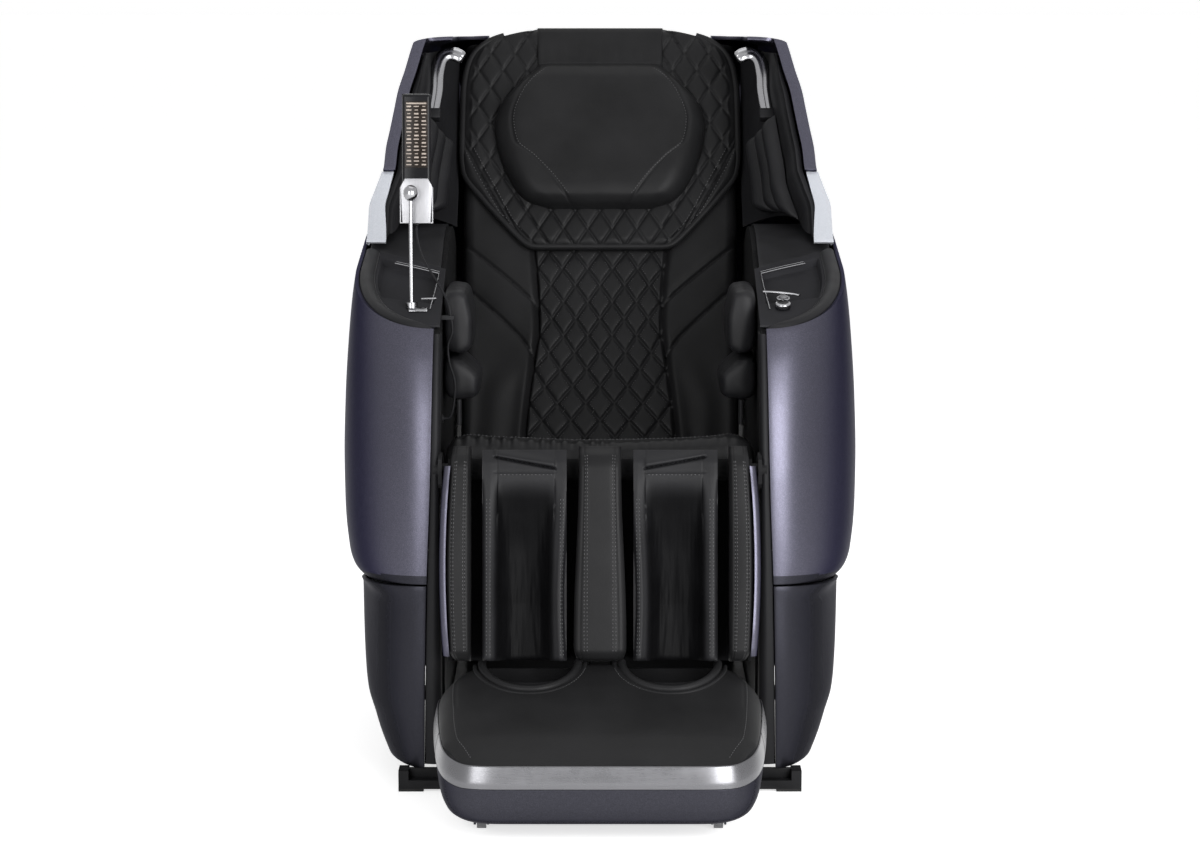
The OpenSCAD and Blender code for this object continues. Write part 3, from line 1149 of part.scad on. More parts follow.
// Flat underside of the cover, rising to the rear
function cover_low(y) = mix(119, 160, (y + foot_front - 7) / (foot_front - 7 - cover_rear));
module foot_cover_pad() {
    ys = [-foot_front + 7, -foot_front + 10, -foot_front + 22, -foot_front + 50, -620, -570, -530, -505, -480,
        -462, -cover_rear - 3, -cover_rear];
    ts = [-1, -0.985, -0.93, -0.84, -0.7, -0.5, -0.25, 0, 0.25, 0.5, 0.7, 0.84, 0.93, 0.985, 1];
    function half_w(y) = lookup(-y, [[452, foot_half_w - 22], [490, foot_half_w - 8], [560, foot_half_w - 11],
        [642, foot_half_w - 20], [670, foot_half_w - 34], [698, foot_front_half_w + 22], [710, foot_front_half_w + 2],
        [713, foot_front_half_w - 4]]);
    function top(y) = mix(132, 224, (y + foot_front - 8) / (foot_front - 8 - cover_rear));
    face = [for (r = [0:len(ys) - 1]) let (y = ys[r]) [for (t = ts)
        let (rise = bulge((1 - abs(t)) / 0.3) * lookup(r, [[0, 0.2], [1, 0.55], [2, 0.92], [3, 1], [9, 1], [10, 0.96], [11, 0.9]]))
        [t * half_w(y), y, mix(rim_z(y) - 2, top(y) + 4, rise)]]];
    color("#26262b") difference() {
        cushion(face, function (p) [p[0], p[1], cover_low(p[1])]);
        for (s = [-1, 1]) translate([s * ankle_x, -ankle_y, 60]) cylinder(r = ankle_r, h = 200, $fn = 40);
    }
}

// Foot wells: a closed box for each foot under the cover, with a collar round its ankle opening
well_in = 40;
well_out = 180;
well_wall = 4;
well_floor = shell_low + foot_wall + seat_gap;
well_front = 650;
well_rear = 408;
collar_top = 212;
ankle_back = ankle_y - well_rear - well_wall;
// Plan of an ankle opening: round at the front, square at the rear
module ankle_plan(inset) {
    r = ankle_r - inset;
    intersection() {
        circle(r = r);
        translate([-r, -r]) square([2 * r, r]);
    }
    translate([-r, -1]) square([2 * r, ankle_back - inset + 1]);
}
module foot_well() {
    roof = cover_low(-well_front) - seat_gap;
    difference() {
        union() {
            translate([well_in - well_wall, -well_front, well_floor])
                cube([well_out - well_in + 2 * well_wall, well_front - well_rear, roof - well_floor]);
            translate([ankle_x, -ankle_y, roof - 1]) linear_extrude(collar_top - roof + 1) ankle_plan(seat_gap);
        }
        translate([well_in, -well_front + well_wall, well_floor + well_wall])
            cube([well_out - well_in, well_front - well_rear - 2 * well_wall, roof - well_floor - 2 * well_wall]);
        translate([ankle_x, -ankle_y, roof - well_wall - 1]) linear_extrude(collar_top) ankle_plan(seat_gap + well_wall);
        translate([0, -sole_y, sole_z]) bar_x(0, well_out + 2 * well_wall, sole_shaft_r + run_gap);
    }
}
module foot_wells() { color("#141416") { foot_well(); left_of() foot_well(); } }

// Two rods slide in the calf rest and stand in a block between the wells
slide_low = -400;
slide_high = -80;
slide_block_top = 150;
module foot_slide() {
    block_w = 2 * (well_in - well_wall - seat_gap);
    color("silver") {
        at_calf() for (x = [-slide_x, slide_x]) translate([x, slide_y, slide_low])
            cylinder(r = slide_r, h = slide_high - slide_low);
        translate([-block_w / 2, -ankle_y + 12, well_floor])
            cube([block_w, ankle_y - 12 - foot_rear - foot_wall - seat_gap, slide_block_top - well_floor]);
    }
}

sole_y = 560;
sole_shaft_r = 5;
sole_z = well_floor + well_wall + sole_roller_r + 1;
module sole_rollers() {
    color("#3a3a3e") translate([0, -sole_y, sole_z]) {
        for (x = [-ankle_x, ankle_x]) bar_x(x - 50, x + 50, sole_roller_r);
        bar_x(-well_out - well_wall + 0.5, well_out + well_wall - 0.5, sole_shaft_r);
    }
}

base_frame();
floor_pads();
rear_axle();
rear_wheels();
power_case();
power_switch();
seat_frame();
pivot_shafts();
seat_cushion();
upper_panel_left();
upper_panel_right();
lower_panel_left();
lower_panel_right();
liner_left();
liner_right();
arm_rim_left();
arm_rim_right();
consoles();
console_trims();
rear_cover_left();
rear_cover_right();
arm_airbags();
quick_knob();
pause_button();
recline_actuator();
recline_rod();
stand_socket();
stand_rod();
remote_holder();
remote_body();
remote_screen();
cord_fittings();
remote_cord();
back_frame();
back_cross_bars();
back_shell();
wing_shell_left();
wing_shell_right();
wing_accents();
wing_liner_left();
wing_liner_right();
shoulder_grips();
shoulder_airbags();
back_cushion();
head_pad();
head_pillow();
massage_track();
massage_carriage();
kneading_head_left();
kneading_head_right();
calf_shell();
calf_pads();
trough_linings();
foot_shell();
foot_trim();
foot_cover_pad();
foot_wells();
foot_slide();
sole_rollers();
foot_wheels();
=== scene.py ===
import json
import math

import bmesh
import bpy
from mathutils import Matrix, Vector, noise


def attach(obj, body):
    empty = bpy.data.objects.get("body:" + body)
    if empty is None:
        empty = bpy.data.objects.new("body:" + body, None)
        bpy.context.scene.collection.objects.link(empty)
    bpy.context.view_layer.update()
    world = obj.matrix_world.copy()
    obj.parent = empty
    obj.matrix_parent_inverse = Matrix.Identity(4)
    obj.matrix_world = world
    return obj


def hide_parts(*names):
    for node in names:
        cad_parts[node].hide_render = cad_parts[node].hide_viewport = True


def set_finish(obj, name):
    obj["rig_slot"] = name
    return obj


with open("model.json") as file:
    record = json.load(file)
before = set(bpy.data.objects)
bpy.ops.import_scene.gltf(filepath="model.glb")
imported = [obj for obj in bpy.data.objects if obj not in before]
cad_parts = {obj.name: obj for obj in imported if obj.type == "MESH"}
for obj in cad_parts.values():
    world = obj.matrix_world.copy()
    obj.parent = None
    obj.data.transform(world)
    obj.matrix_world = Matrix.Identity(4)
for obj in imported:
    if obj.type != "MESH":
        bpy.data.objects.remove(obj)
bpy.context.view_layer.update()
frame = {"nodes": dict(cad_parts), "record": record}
bpy.context.scene.view_settings.view_transform = "Standard"
MM = 0.001

# ---------- sizes of the chair, millimetres ----------

# Side pods: half width, wall, radius of the rear arc about the recline pivot
POD_HALF_W, POD_WALL, POD_R = 424, 6, 438
# How far the pods reach forward, their half width at the rear, and their lower edge
POD_FRONT, POD_REAR_X, POD_BOTTOM = 380, 300, 35
# Arm top: front end, height there, where it meets the rear arc; the angle of the arc at the top's rear end
ARM_FRONT_Y, ARM_FRONT_Z, ARC_FRONT_Y = 300, 735, 40
ARC_END = math.radians(60)
# Shares of a pod's depth at which its curved front ends and its curved rear begins
FRONT_U, REAR_U = 0.36, 0.68
# Line between the upper and lower panels: height at the front, fall along the depth, gap
SPLIT_Z, SPLIT_FALL, SPLIT_GAP = 339, 0.117, 3
# Clear half width between the arms, and the outer face of the side liners
CABIN_HALF_W, LINER_OUT = 254, 262
# Recline pivot, and the back's lean in degrees; the back's sizes are measured along it from the pivot
RECLINE_Y, RECLINE_Z, BACK_LEAN = 190, 420, 27
BACK_LEN, BACK_HALF_W = 827, 240
SHELL_Y, SHELL_WALL = 192, 6
CUSHION_Y, CUSHION_T = 42, 34
# Quilted middle panel of the back cushion: half width, height of a row of diamonds, number of rows
QUILT_HALF_W, QUILT_STEP, QUILT_ROWS = 105, 31.3, 12
HEAD_PAD_Z, HEAD_HALF_W, HEAD_T = 402, 246, 22
PILLOW_HALF_W, PILLOW_T, PILLOW_H = 186, 42, 348
# Wings: front, thickness of the padding, radius of the lower edge about the pivot, top of the silver plate
WING_FRONT, WING_PAD, SWEEP_R, ACCENT_Z = 329, 36, 448, 437
SEAT_FRONT_Y, SEAT_REAR_Y = -316, 140
SEAT_FRONT_Z, SEAT_REAR_Z, SEAT_T, SEAT_HALF_W = 566, 450, 96, 244.7
# Calf rest: its hinge and lean in degrees; then its own sizes
CALF_Y, CALF_Z, CALF_LEAN = 365, 520, 10
CALF_LEN, CALF_HALF_W, TROUGH_DEPTH = 300, 247, 62
# Foot box: half width, front, half width at the front, rear; foot of the shell and height of the silver band
FOOT_HALF_W, FOOT_FRONT, FOOT_FRONT_HALF_W, FOOT_REAR = 258, 720, 187, 396
SHELL_LOW, TRIM_H = 31, 34
# Remote and its stand on the left arm, with the holder's lean in degrees
STAND_X, STAND_Y, ROD_LEN = 302, 211, 184
REMOTE_W, REMOTE_T, REMOTE_LEN, HOLDER_LEAN = 46, 17, 204, 6
# Quick control knob on the right arm
KNOB_X, KNOB_Y = 293, 215
CORD_D = 3.8


# ---------- small sums ----------

def mix(a, b, t):
    return a + (b - a) * t


def clamp(t):
    return min(1.0, max(0.0, t))


def bulge(t):
    """Quarter circle rise from 0 to 1."""
    return math.sqrt(max(0.0, 1 - (1 - clamp(t)) ** 2))


def ease(t):
    t = clamp(t)
    return t * t * (3 - 2 * t)


def ramp(x, table):
    """Value at x along straight lines through a table of (x, value) pairs."""
    for (x0, y0), (x1, y1) in zip(table, table[1:]):
        if x <= x1:
            break
    return mix(y0, y1, (x - x0) / (x1 - x0))


def curve(x, table):
    """Smooth value at x through a table of (x, value) pairs, without overshoot."""
    if x <= table[0][0]:
        return table[0][1]
    if x >= table[-1][0]:
        return table[-1][1]
    i = next(k for k in range(len(table) - 1) if table[k + 1][0] >= x)

    def slope(k):
        return (table[k + 1][1] - table[k][1]) / (table[k + 1][0] - table[k][0])

    def bend(k):
        if k == 0:
            return slope(0)
        if k == len(table) - 1:
            return slope(k - 1)
        a, b = slope(k - 1), slope(k)
        return 2 * a * b / (a + b) if a * b > 0 else 0

    (x0, y0), (x1, y1) = table[i], table[i + 1]
    h = x1 - x0
    t = (x - x0) / h
    return ((1 + 2 * t) * (1 - t) ** 2 * y0 + t * (1 - t) ** 2 * h * bend(i)
            + t * t * (3 - 2 * t) * y1 + t * t * (t - 1) * h * bend(i + 1))


def spline(points, steps=8):
    """Smooth points through given ones."""
    points = [Vector(p) for p in points]
    out = []
    for i in range(len(points) - 1):
        a, b, c, d = (points[max(i - 1, 0)], points[i], points[i + 1], points[min(i + 2, len(points) - 1)])
        for s in range(steps):
            t = s / steps
            out.append(0.5 * (2 * b + (c - a) * t + (2 * a - 5 * b + 4 * c - d) * t * t
                              + (3 * b - a - 3 * c + d) * t ** 3))
    return out + [points[-1]]


def line_length(points):
    return sum((b - a).length for a, b in zip(points, points[1:]))


def even_points(points, step):
    """Points at an even distance along a line of points."""
    out = [points[0].copy()]
    left = step
    for a, b in zip(points, points[1:]):
        length = (b - a).length
        while left <= length:
            out.append(a.lerp(b, left / length))
            left += step
        left -= length
    return out


def rounded_line(points, count, passes):
    """Points spaced evenly along a line, with its corners rounded."""
    line = even_points(points, line_length(points) / count * 0.99999)[:count + 1]
    line[-1] = points[-1].copy()
    for _ in range(passes):
        line = [line[0]] + [(a + 2 * b + c) / 4 for a, b, c in zip(line, line[1:], line[2:])] + [line[-1]]
    return line


def crease(distance, width, depth):
    """Depth of a sewn line at a distance from it."""
    return depth * math.exp(-(distance / width) ** 2)


def quilted(a, b, spacing, height):
    """Height of padding sewn along whole values of a and b, whose lines lie spacing apart."""
    near = [abs(s - round(s)) * spacing for s in (a, b)]
    soft = (1 - math.exp(-near[0] / 3.6)) * (1 - math.exp(-near[1] / 3.6))
    return height * soft - crease(near[0], 2.1, 1.2) - crease(near[1], 2.1, 1.2)


def ripple(x, y, z, size):
    """Gentle unevenness from -1 to 1, the same every run."""
    return noise.noise(Vector((x, y, z)) / size)


def moved(x, y, z):
    return Matrix.Translation((x * MM, y * MM, z * MM))


def leaning(degrees):
    return Matrix.Rotation(math.radians(-degrees), 4, "X")


UPRIGHT = Matrix.Identity(4)
BACK = moved(0, RECLINE_Y, RECLINE_Z) @ leaning(BACK_LEAN)
CALF = moved(0, -CALF_Y, CALF_Z) @ leaning(CALF_LEAN)
SIDES = ((1, "right"), (-1, "left"))


# ---------- camera and studio ----------

# Metres, degrees below level and lens millimetres
CAMERA_PLACE, CAMERA_DOWN = (0, -5.93, 1.4), 8.33
LENS, SENSOR_W = 107.64, 36
# Name, place, width, height and power of each lamp, in metres and watts
LAMPS = (("soft_box_left", (-2.0, -4.5, 1.65), 2.1, 3.2, 125),
         ("soft_box_right", (2.3, -4.2, 1.65), 2.7, 3.2, 300),
         ("top_box", (0, 0.4, 4.2), 2.6, 2.6, 24),
         ("rear_box", (0, 4.2, 2.6), 2.2, 2.2, 25))
LAMP_TARGET = Vector((0, 0, 0.75))
FLOOR_GLOW = 0.62
SKY_LIGHT = 0.36


def make_camera():
    bpy.ops.object.camera_add(location=CAMERA_PLACE, rotation=(math.radians(90 - CAMERA_DOWN), 0, 0))
    camera = bpy.context.object
    camera.name = "camera"
    camera.data.lens = LENS
    camera.data.sensor_width = SENSOR_W
    bpy.context.scene.camera = camera


def where_seen(tree, unseen, seen):
    """A level that is higher for camera, glossy and transmission rays."""
    path = tree.nodes.new("ShaderNodeLightPath").outputs
    rays = math_out(tree, "MAXIMUM", path["Is Camera Ray"], path["Is Glossy Ray"])
    rays = math_out(tree, "MAXIMUM", rays, path["Is Transmission Ray"])
    return range_out(tree, rays, 0.0, 1.0, unseen, seen)


def make_studio():
    """Pale floor, plain soft light and a white surround."""
    floor = primitive("plane", "studio_floor", size=60)
    stand(floor, Matrix.Translation((0, 10, 0)))
    paint = plain_finish("studio_floor_white", (0.9, 0.9, 0.9), 0.9)
    shown = paint.node_tree.nodes["Principled BSDF"].inputs
    shown["Emission Color"].default_value = (1, 1, 1, 1)
    paint.node_tree.links.new(where_seen(paint.node_tree, 0.0, FLOOR_GLOW), shown["Emission Strength"])
    floor.data.materials.append(paint)
    world = bpy.data.worlds.new("studio")
    bpy.context.scene.world = world
    world.use_nodes = True
    tree = world.node_tree
    tree.nodes.clear()
    glow = where_seen(tree, SKY_LIGHT, 1.0)
    sky = add(tree, "ShaderNodeBackground", {"Color": (1, 1, 1, 1), "Strength": glow})
    add(tree, "ShaderNodeOutputWorld", {"Surface": sky.outputs[0]})
    for name, place, wide, tall, power in LAMPS:
        aim = (LAMP_TARGET - Vector(place)).to_track_quat("-Z", "Y").to_euler()
        bpy.ops.object.light_add(type="AREA", location=place, rotation=aim)
        lamp = bpy.context.object
        lamp.name = name
        lamp.data.shape = "RECTANGLE"
        lamp.data.size = wide
        lamp.data.size_y = tall
        lamp.data.energy = power


# ---------- materials ----------

COLOR = "NodeSocketColor"
VALUE = "NodeSocketFloat"
SLOT_OF = {}


def add(tree, kind, links=None, **settings):
    """A node with its settings, and its inputs linked or set."""
    node = tree.nodes.new(kind)
    for key, value in settings.items():
        setattr(node, key, value)
    for key, value in (links or {}).items():
        if isinstance(value, bpy.types.NodeSocket):
            tree.links.new(value, node.inputs[key])
        else:
            node.inputs[key].default_value = value
    return node


def math_out(tree, operation, *values):
    return add(tree, "ShaderNodeMath", dict(enumerate(values)), operation=operation).outputs[0]


def range_out(tree, *values):
    """A value mapped from one range to another: value, from low, from high, to low, to high."""
    return add(tree, "ShaderNodeMapRange", dict(enumerate(values))).outputs[0]


def noise_out(tree, place, scale, detail=2.0):
    return add(tree, "ShaderNodeTexNoise", {"Vector": place, "Scale": scale, "Detail": detail}).outputs["Fac"]


def scaled(tree, color, factor):
    return add(tree, "ShaderNodeVectorMath", {0: color, "Scale": factor}, operation="SCALE").outputs[0]


def mixed(tree, share, one, other):
    return add(tree, "ShaderNodeMix", {0: share, 6: one, 7: other}, data_type="RGBA").outputs[2]


def surface_group(name, inputs, parts):
    """A node group that puts out the colour, roughness and height that parts() builds."""
    group = bpy.data.node_groups.new(name, "ShaderNodeTree")
    for label, kind, value in inputs:
        group.interface.new_socket(name=label, in_out="INPUT", socket_type=kind).default_value = value
    for label, kind in (("Color", COLOR), ("Roughness", VALUE), ("Height", VALUE)):
        group.interface.new_socket(name=label, in_out="OUTPUT", socket_type=kind)
    given = group.nodes.new("NodeGroupInput").outputs
    out = group.nodes.new("NodeGroupOutput")
    color, shift, height = parts(group, given, group.nodes.new("ShaderNodeTexCoord").outputs["Object"])
    rough = math_out(group, "ADD", shift, given["Roughness"])
    for label, value in (("Color", color), ("Roughness", rough), ("Height", height)):
        group.links.new(value, out.inputs[label])
    return group


def grain_parts(group, given, place):
    """Pebbled leather or moulded grain: cells, soft patches and worn high spots."""
    cells = add(group, "ShaderNodeTexVoronoi", {"Vector": place, "Scale": given["Cells"]},
                feature="SMOOTH_F1")
    patches = noise_out(group, place, given["Patches"], 5.0)
    edge = range_out(group, group.nodes.new("ShaderNodeNewGeometry").outputs["Pointiness"], 0.52, 0.62)
    worn = math_out(group, "MULTIPLY", math_out(group, "MULTIPLY", edge, patches), given["Wear"])
    spread = range_out(group, patches, 0.3, 0.7, -1.0, 1.0)
    tone = math_out(group, "MULTIPLY_ADD", spread, given["Mottle"], 1.0)
    color = mixed(group, worn, scaled(group, given["Color"], tone), given["Worn Color"])
    height = math_out(group, "ADD", patches, cells.outputs["Distance"])
    return color, range_out(group, patches, 0.0, 1.0, -0.1, 0.1), height


def flake_parts(group, given, place):
    """Metallic lacquer: fine flakes and slight orange peel."""
    flakes = add(group, "ShaderNodeTexVoronoi", {"Vector": place, "Scale": given["Flakes"]})
    bright = add(group, "ShaderNodeSeparateColor", {0: flakes.outputs["Color"]}).outputs[0]
    color = mixed(group, range_out(group, bright, 0.35, 1.0, 0.0, 0.55), given["Color"], given["Flake Color"])
    peel = noise_out(group, place, 160.0)
    return color, range_out(group, peel, 0.0, 1.0, -0.04, 0.04), peel


def brushed_parts(group, given, place):
    """Satin metal: fine lines along one direction, with soft cloudy polish."""
    along = add(group, "ShaderNodeVectorMath", {0: place, 1: given["Stretch"]}, operation="MULTIPLY")
    lines = noise_out(group, along.outputs[0], 1.0, 3.0)
    spread = math_out(group, "MULTIPLY", lines, noise_out(group, place, 30.0))
    color = mixed(group, lines, given["Color"], given["Line Color"])
    return color, range_out(group, spread, 0.0, 0.5, -0.06, 0.08), lines


def rgb(r, g, b):
    return (r, g, b, 1)


grain = surface_group("surface_grain", [
    ("Color", COLOR, rgb(0.02, 0.02, 0.02)), ("Worn Color", COLOR, rgb(0.05, 0.05, 0.05)),
    ("Cells", VALUE, 700), ("Patches", VALUE, 14), ("Mottle", VALUE, 0.2), ("Roughness", VALUE, 0.5),
    ("Wear", VALUE, 0.4)], grain_parts)
lacquer = surface_group("metallic_lacquer", [
    ("Color", COLOR, rgb(0.1, 0.1, 0.13)), ("Flake Color", COLOR, rgb(0.2, 0.2, 0.26)),
    ("Flakes", VALUE, 1600), ("Roughness", VALUE, 0.35)], flake_parts)
satin = surface_group("satin_metal", [
    ("Color", COLOR, rgb(0.6, 0.6, 0.62)), ("Line Color", COLOR, rgb(0.4, 0.4, 0.42)),
    ("Stretch", "NodeSocketVector", (20, 900, 900)), ("Roughness", VALUE, 0.25)], brushed_parts)


def made_finish(name, slot, group, values, bump, depth=0.2, **shader):
    """A material whose colour, roughness and relief come from a group, with its shader here."""
    material = bpy.data.materials.new(name)
    material.use_nodes = True
    tree = material.node_tree
    body = tree.nodes["Principled BSDF"]
    surface = add(tree, "ShaderNodeGroup", values, node_tree=group)
    relief = add(tree, "ShaderNodeBump", {"Height": surface.outputs["Height"], "Strength": bump,
                                          "Distance": depth * MM})
    tree.links.new(surface.outputs["Color"], body.inputs["Base Color"])
    tree.links.new(surface.outputs["Roughness"], body.inputs["Roughness"])
    tree.links.new(relief.outputs["Normal"], body.inputs["Normal"])
    for key, value in shader.items():
        body.inputs[key.replace("_", " ")].default_value = value
    SLOT_OF[name] = slot
    return material


def grained(name, slot, color, worn, cells, patches, roughness, wear, bump, depth, gloss=0.5):
    """Leather, plastic, rubber or paint with a grain; depth in millimetres."""
    return made_finish(name, slot, grain, {
        "Color": rgb(*color), "Worn Color": rgb(*worn), "Cells": cells, "Patches": patches,
        "Roughness": roughness, "Wear": wear}, bump, depth, Specular_IOR_Level=gloss)


def lacquered(name, slot, color, flake, roughness, bump, **shader):
    return made_finish(name, slot, lacquer, {"Color": rgb(*color), "Flake Color": rgb(*flake),
                                             "Roughness": roughness}, bump, **shader)


def metal(name, slot, color, line, stretch, roughness, bump):
    return made_finish(name, slot, satin, {"Color": rgb(*color), "Line Color": rgb(*line), "Stretch": stretch,
                                           "Roughness": roughness}, bump, Metallic=1.0)


def plain_finish(name, color, roughness):
    """A studio surface with a slight mottle."""
    return made_finish(name, None, grain, {
        "Color": rgb(*color), "Worn Color": rgb(*color), "Cells": 40, "Patches": 2, "Mottle": 0.01,
        "Roughness": roughness, "Wear": 0}, 0)


def darken_by_painted_shade(material, darkest, gloss, least_gloss):
    """Painted shade: lets the piece's shade attribute darken the colour and take down the gloss."""
    tree = material.node_tree
    body = tree.nodes["Principled BSDF"].inputs
    shade = add(tree, "ShaderNodeAttribute", attribute_name="shade").outputs["Fac"]
    keep = range_out(tree, shade, 0.0, 1.0, 1.0, darkest)
    color = scaled(tree, body["Base Color"].links[0].from_socket, keep)
    tree.links.new(color, body["Base Color"])
    tree.links.new(range_out(tree, shade, 0.0, 1.0, gloss, least_gloss), body["Specular IOR Level"])


# Name, slot, colour, worn colour, cells, patches, roughness, wear, bump, its depth, gloss
leather = grained("grained_black_leather", "black_leather", (0.0095, 0.0095, 0.01), (0.028, 0.028, 0.03),
                  620, 11, 0.44, 0.5, 0.3, 0.4, 0.09)
SOFT = ("black_leather", (0.009, 0.009, 0.010), (0.026, 0.026, 0.028), 800, 18, 0.5, 0.4, 0.3, 0.4)
soft_leather = grained("soft_black_leather", *SOFT, 0.14)
# Leather of the trough linings, darkened and dulled by painted shade down the trough
trough_leather = grained("soft_leather_painted_shade", *SOFT)
darken_by_painted_shade(trough_leather, 0.35, 0.14, 0.04)
board_leather = grained("board_backed_leather", "black_leather", (0.0085, 0.0085, 0.0095),
                        (0.02, 0.02, 0.022), 700, 9, 0.55, 0.3, 0.3, 0.3, 0.13)
thread = grained("charcoal_thread", "black_leather", (0.075, 0.075, 0.078), (0.1, 0.1, 0.1),
                 1500, 60, 0.7, 0.2, 0.4, 0.2, 0.2)
dark_steel = grained("black_powder_coat", "dark_steel", (0.006, 0.006, 0.0065), (0.03, 0.03, 0.032),
                     2200, 20, 0.5, 0.6, 0.25, 0.1, 0.08)
black_plastic = grained("textured_black_plastic", "black_plastic", (0.008, 0.008, 0.009), (0.03, 0.03, 0.032),
                        1800, 25, 0.52, 0.5, 0.2, 0.1, 0.1)
tray_plastic = grained("console_plastic", "black_plastic", (0.016, 0.016, 0.018), (0.05, 0.05, 0.052),
                       2400, 12, 0.72, 0.5, 0.12, 0.1, 0.06)
grey_plastic = grained("moulded_grey_plastic", "grey_plastic", (0.09, 0.09, 0.095), (0.16, 0.16, 0.165),
                       1800, 30, 0.45, 0.5, 0.15, 0.1)
rubber = grained("moulded_rubber", "rubber", (0.014, 0.014, 0.014), (0.04, 0.04, 0.04),
                 1500, 35, 0.72, 0.6, 0.3, 0.2, 0.12)
rocker_red = grained("moulded_red", "red_rocker", (0.32, 0.02, 0.02), (0.45, 0.08, 0.07),
                     2000, 40, 0.3, 0.5, 0.05, 0.1)
piano_black = grained("piano_black", "gloss_black", (0.006, 0.006, 0.007), (0.02, 0.02, 0.02),
                      300, 20, 0.2, 0.4, 0.01, 0.1, 0.12)
display_glass = grained("display_glass", "screen", (0.012, 0.009, 0.007), (0.05, 0.04, 0.035),
                        300, 30, 0.2, 0.2, 0.0, 0.1, 0.12)
print_ink = grained("printed_marks", "screen", (0.24, 0.20, 0.17), (0.3, 0.26, 0.22),
                    900, 50, 0.5, 0.2, 0.02, 0.1)
# Near-black lining for nodes in shadow inside the chair: partly their own dark cloth, partly painted shade
dark_lining_and_shade = grained("dark_lining", "black_leather", (0.005, 0.005, 0.0055), (0.02, 0.02, 0.02),
                      1200, 30, 0.85, 0.3, 0.5, 0.3, 0.06)
side_paint = lacquered("purple_grey_lacquer", "side_paint", (0.062, 0.061, 0.079), (0.13, 0.127, 0.167), 0.38,
                       0.015, Metallic=1.0, Specular_Tint=rgb(0.25, 0.25, 0.27))
lower_paint = lacquered("dark_grey_lacquer", "lower_paint", (0.021, 0.021, 0.026), (0.04, 0.04, 0.05), 0.42,
                        0.03, Metallic=0.9, Specular_Tint=rgb(0.3, 0.3, 0.32))
foot_paint = lacquered("slate_lacquer", "foot_paint", (0.03, 0.03, 0.037), (0.06, 0.06, 0.075), 0.4,
                       0.03, Metallic=0.9, Specular_Tint=rgb(0.3, 0.3, 0.32))
accent_paint = lacquered("light_silver_lacquer", "accent_silver", (0.38, 0.395, 0.43), (0.55, 0.565, 0.6),
                         0.34, 0.02, Metallic=0.45, Coat_Weight=0.25, Coat_Roughness=0.15)
chrome = metal("satin_chrome", "chrome_trim", (0.33, 0.33, 0.345), (0.27, 0.27, 0.28),
               (40, 500, 500), 0.2, 0.03)
holder_silver = metal("satin_holder_silver", "chrome_trim", (0.27, 0.27, 0.28), (0.22, 0.22, 0.23),
                      (500, 500, 40), 0.38, 0.03)
trim_silver = metal("brushed_silver_trim", "chrome_trim", (0.155, 0.155, 0.163), (0.13, 0.13, 0.137),
                    (12, 900, 900), 0.28, 0.05)
steel = metal("ground_steel", "bright_steel", (0.42, 0.42, 0.43), (0.28, 0.28, 0.29),
              (900, 30, 900), 0.32, 0.08)

NODE_FINISHES = {SLOT_OF[finish.name]: finish for finish in (
    black_plastic, dark_steel, steel, rubber, rocker_red, leather, side_paint, lower_paint, foot_paint,
    accent_paint, chrome, grey_plastic, piano_black, display_glass)}
NODE_FINISHES["liner_leather"] = board_leather
# Nodes in shadow inside the chair, kept darker than their slot's own finish
DARK_NODES = dict.fromkeys(("foot_slide", "pivot_shafts", "seat_frame"), dark_steel)
DARK_NODES |= dict.fromkeys(("calf_shell", "liner_left", "liner_right", "foot_wells"), dark_lining_and_shade)


def finish_nodes():
    """Gives every carried-over node the finish of its slot, or, for the nodes in DARK_NODES, a darker finish
    as painted shade.
    """
    slots = {row["node"]: row["material_slot"] for row in frame["record"]["subparts"]}
    for name, node in frame["nodes"].items():
        finish = NODE_FINISHES.get(slots.get(name) or node.get("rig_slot"), black_plastic)
        node.data.materials.clear()
        node.data.materials.append(DARK_NODES.get(name, finish))


# ---------- modelling by hand ----------

def select_only(*pieces):
    bpy.ops.object.select_all(action="DESELECT")
    for piece in pieces:
        piece.select_set(True)
    bpy.context.view_layer.objects.active = pieces[0]


def primitive(kind, name, **settings):
    """One of Blender's primitives as a new piece, still to be shaped."""
    bpy.ops.object.select_all(action="DESELECT")
    getattr(bpy.ops.mesh, f"primitive_{kind}_add")(**settings)
    piece = bpy.context.object
    piece.name = piece.data.name = name
    return piece


def finish_modifier(piece, kind, **settings):
    select_only(piece)
    bpy.ops.object.modifier_add(type=kind)
    modifier = piece.modifiers[-1]
    for key, value in settings.items():
        setattr(modifier, key, value)
    bpy.ops.object.modifier_apply(modifier=modifier.name)


def in_edit_mode(piece, *steps):
    """Runs edit-mode operators on the whole mesh."""
    select_only(piece)
    bpy.ops.object.mode_set(mode="EDIT")
    bpy.ops.mesh.select_all(action="SELECT")
    for step in steps:
        step()
    bpy.ops.object.mode_set(mode="OBJECT")


def weld(gap):
    return lambda: bpy.ops.mesh.remove_doubles(threshold=gap)


def turn_outwards():
    bpy.ops.mesh.normals_make_consistent(inside=False)


def face_outwards(piece):
    in_edit_mode(piece, weld(1e-6), turn_outwards)


def smooth(piece, angle=40):
    select_only(piece)
    bpy.ops.object.shade_smooth_by_angle(angle=math.radians(angle))


def stand(piece, where):
    piece.data.transform(where)
    return piece


def move_points(piece, place):
    """Moves each point to place(point), in millimetres."""
    for vertex in piece.data.vertices:
        vertex.co = Vector(place(vertex.co)) * MM


def shaped_grid(name, steps, place):
    """A grid whose points are moved to place(u, v), in millimetres, u across and v up, both 0 to 1."""
    piece = primitive("grid", name, x_subdivisions=steps[0], y_subdivisions=steps[1], size=1)
    move_points(piece, lambda p: place(clamp(p.x + 0.5), clamp(p.y + 0.5)))
    return piece


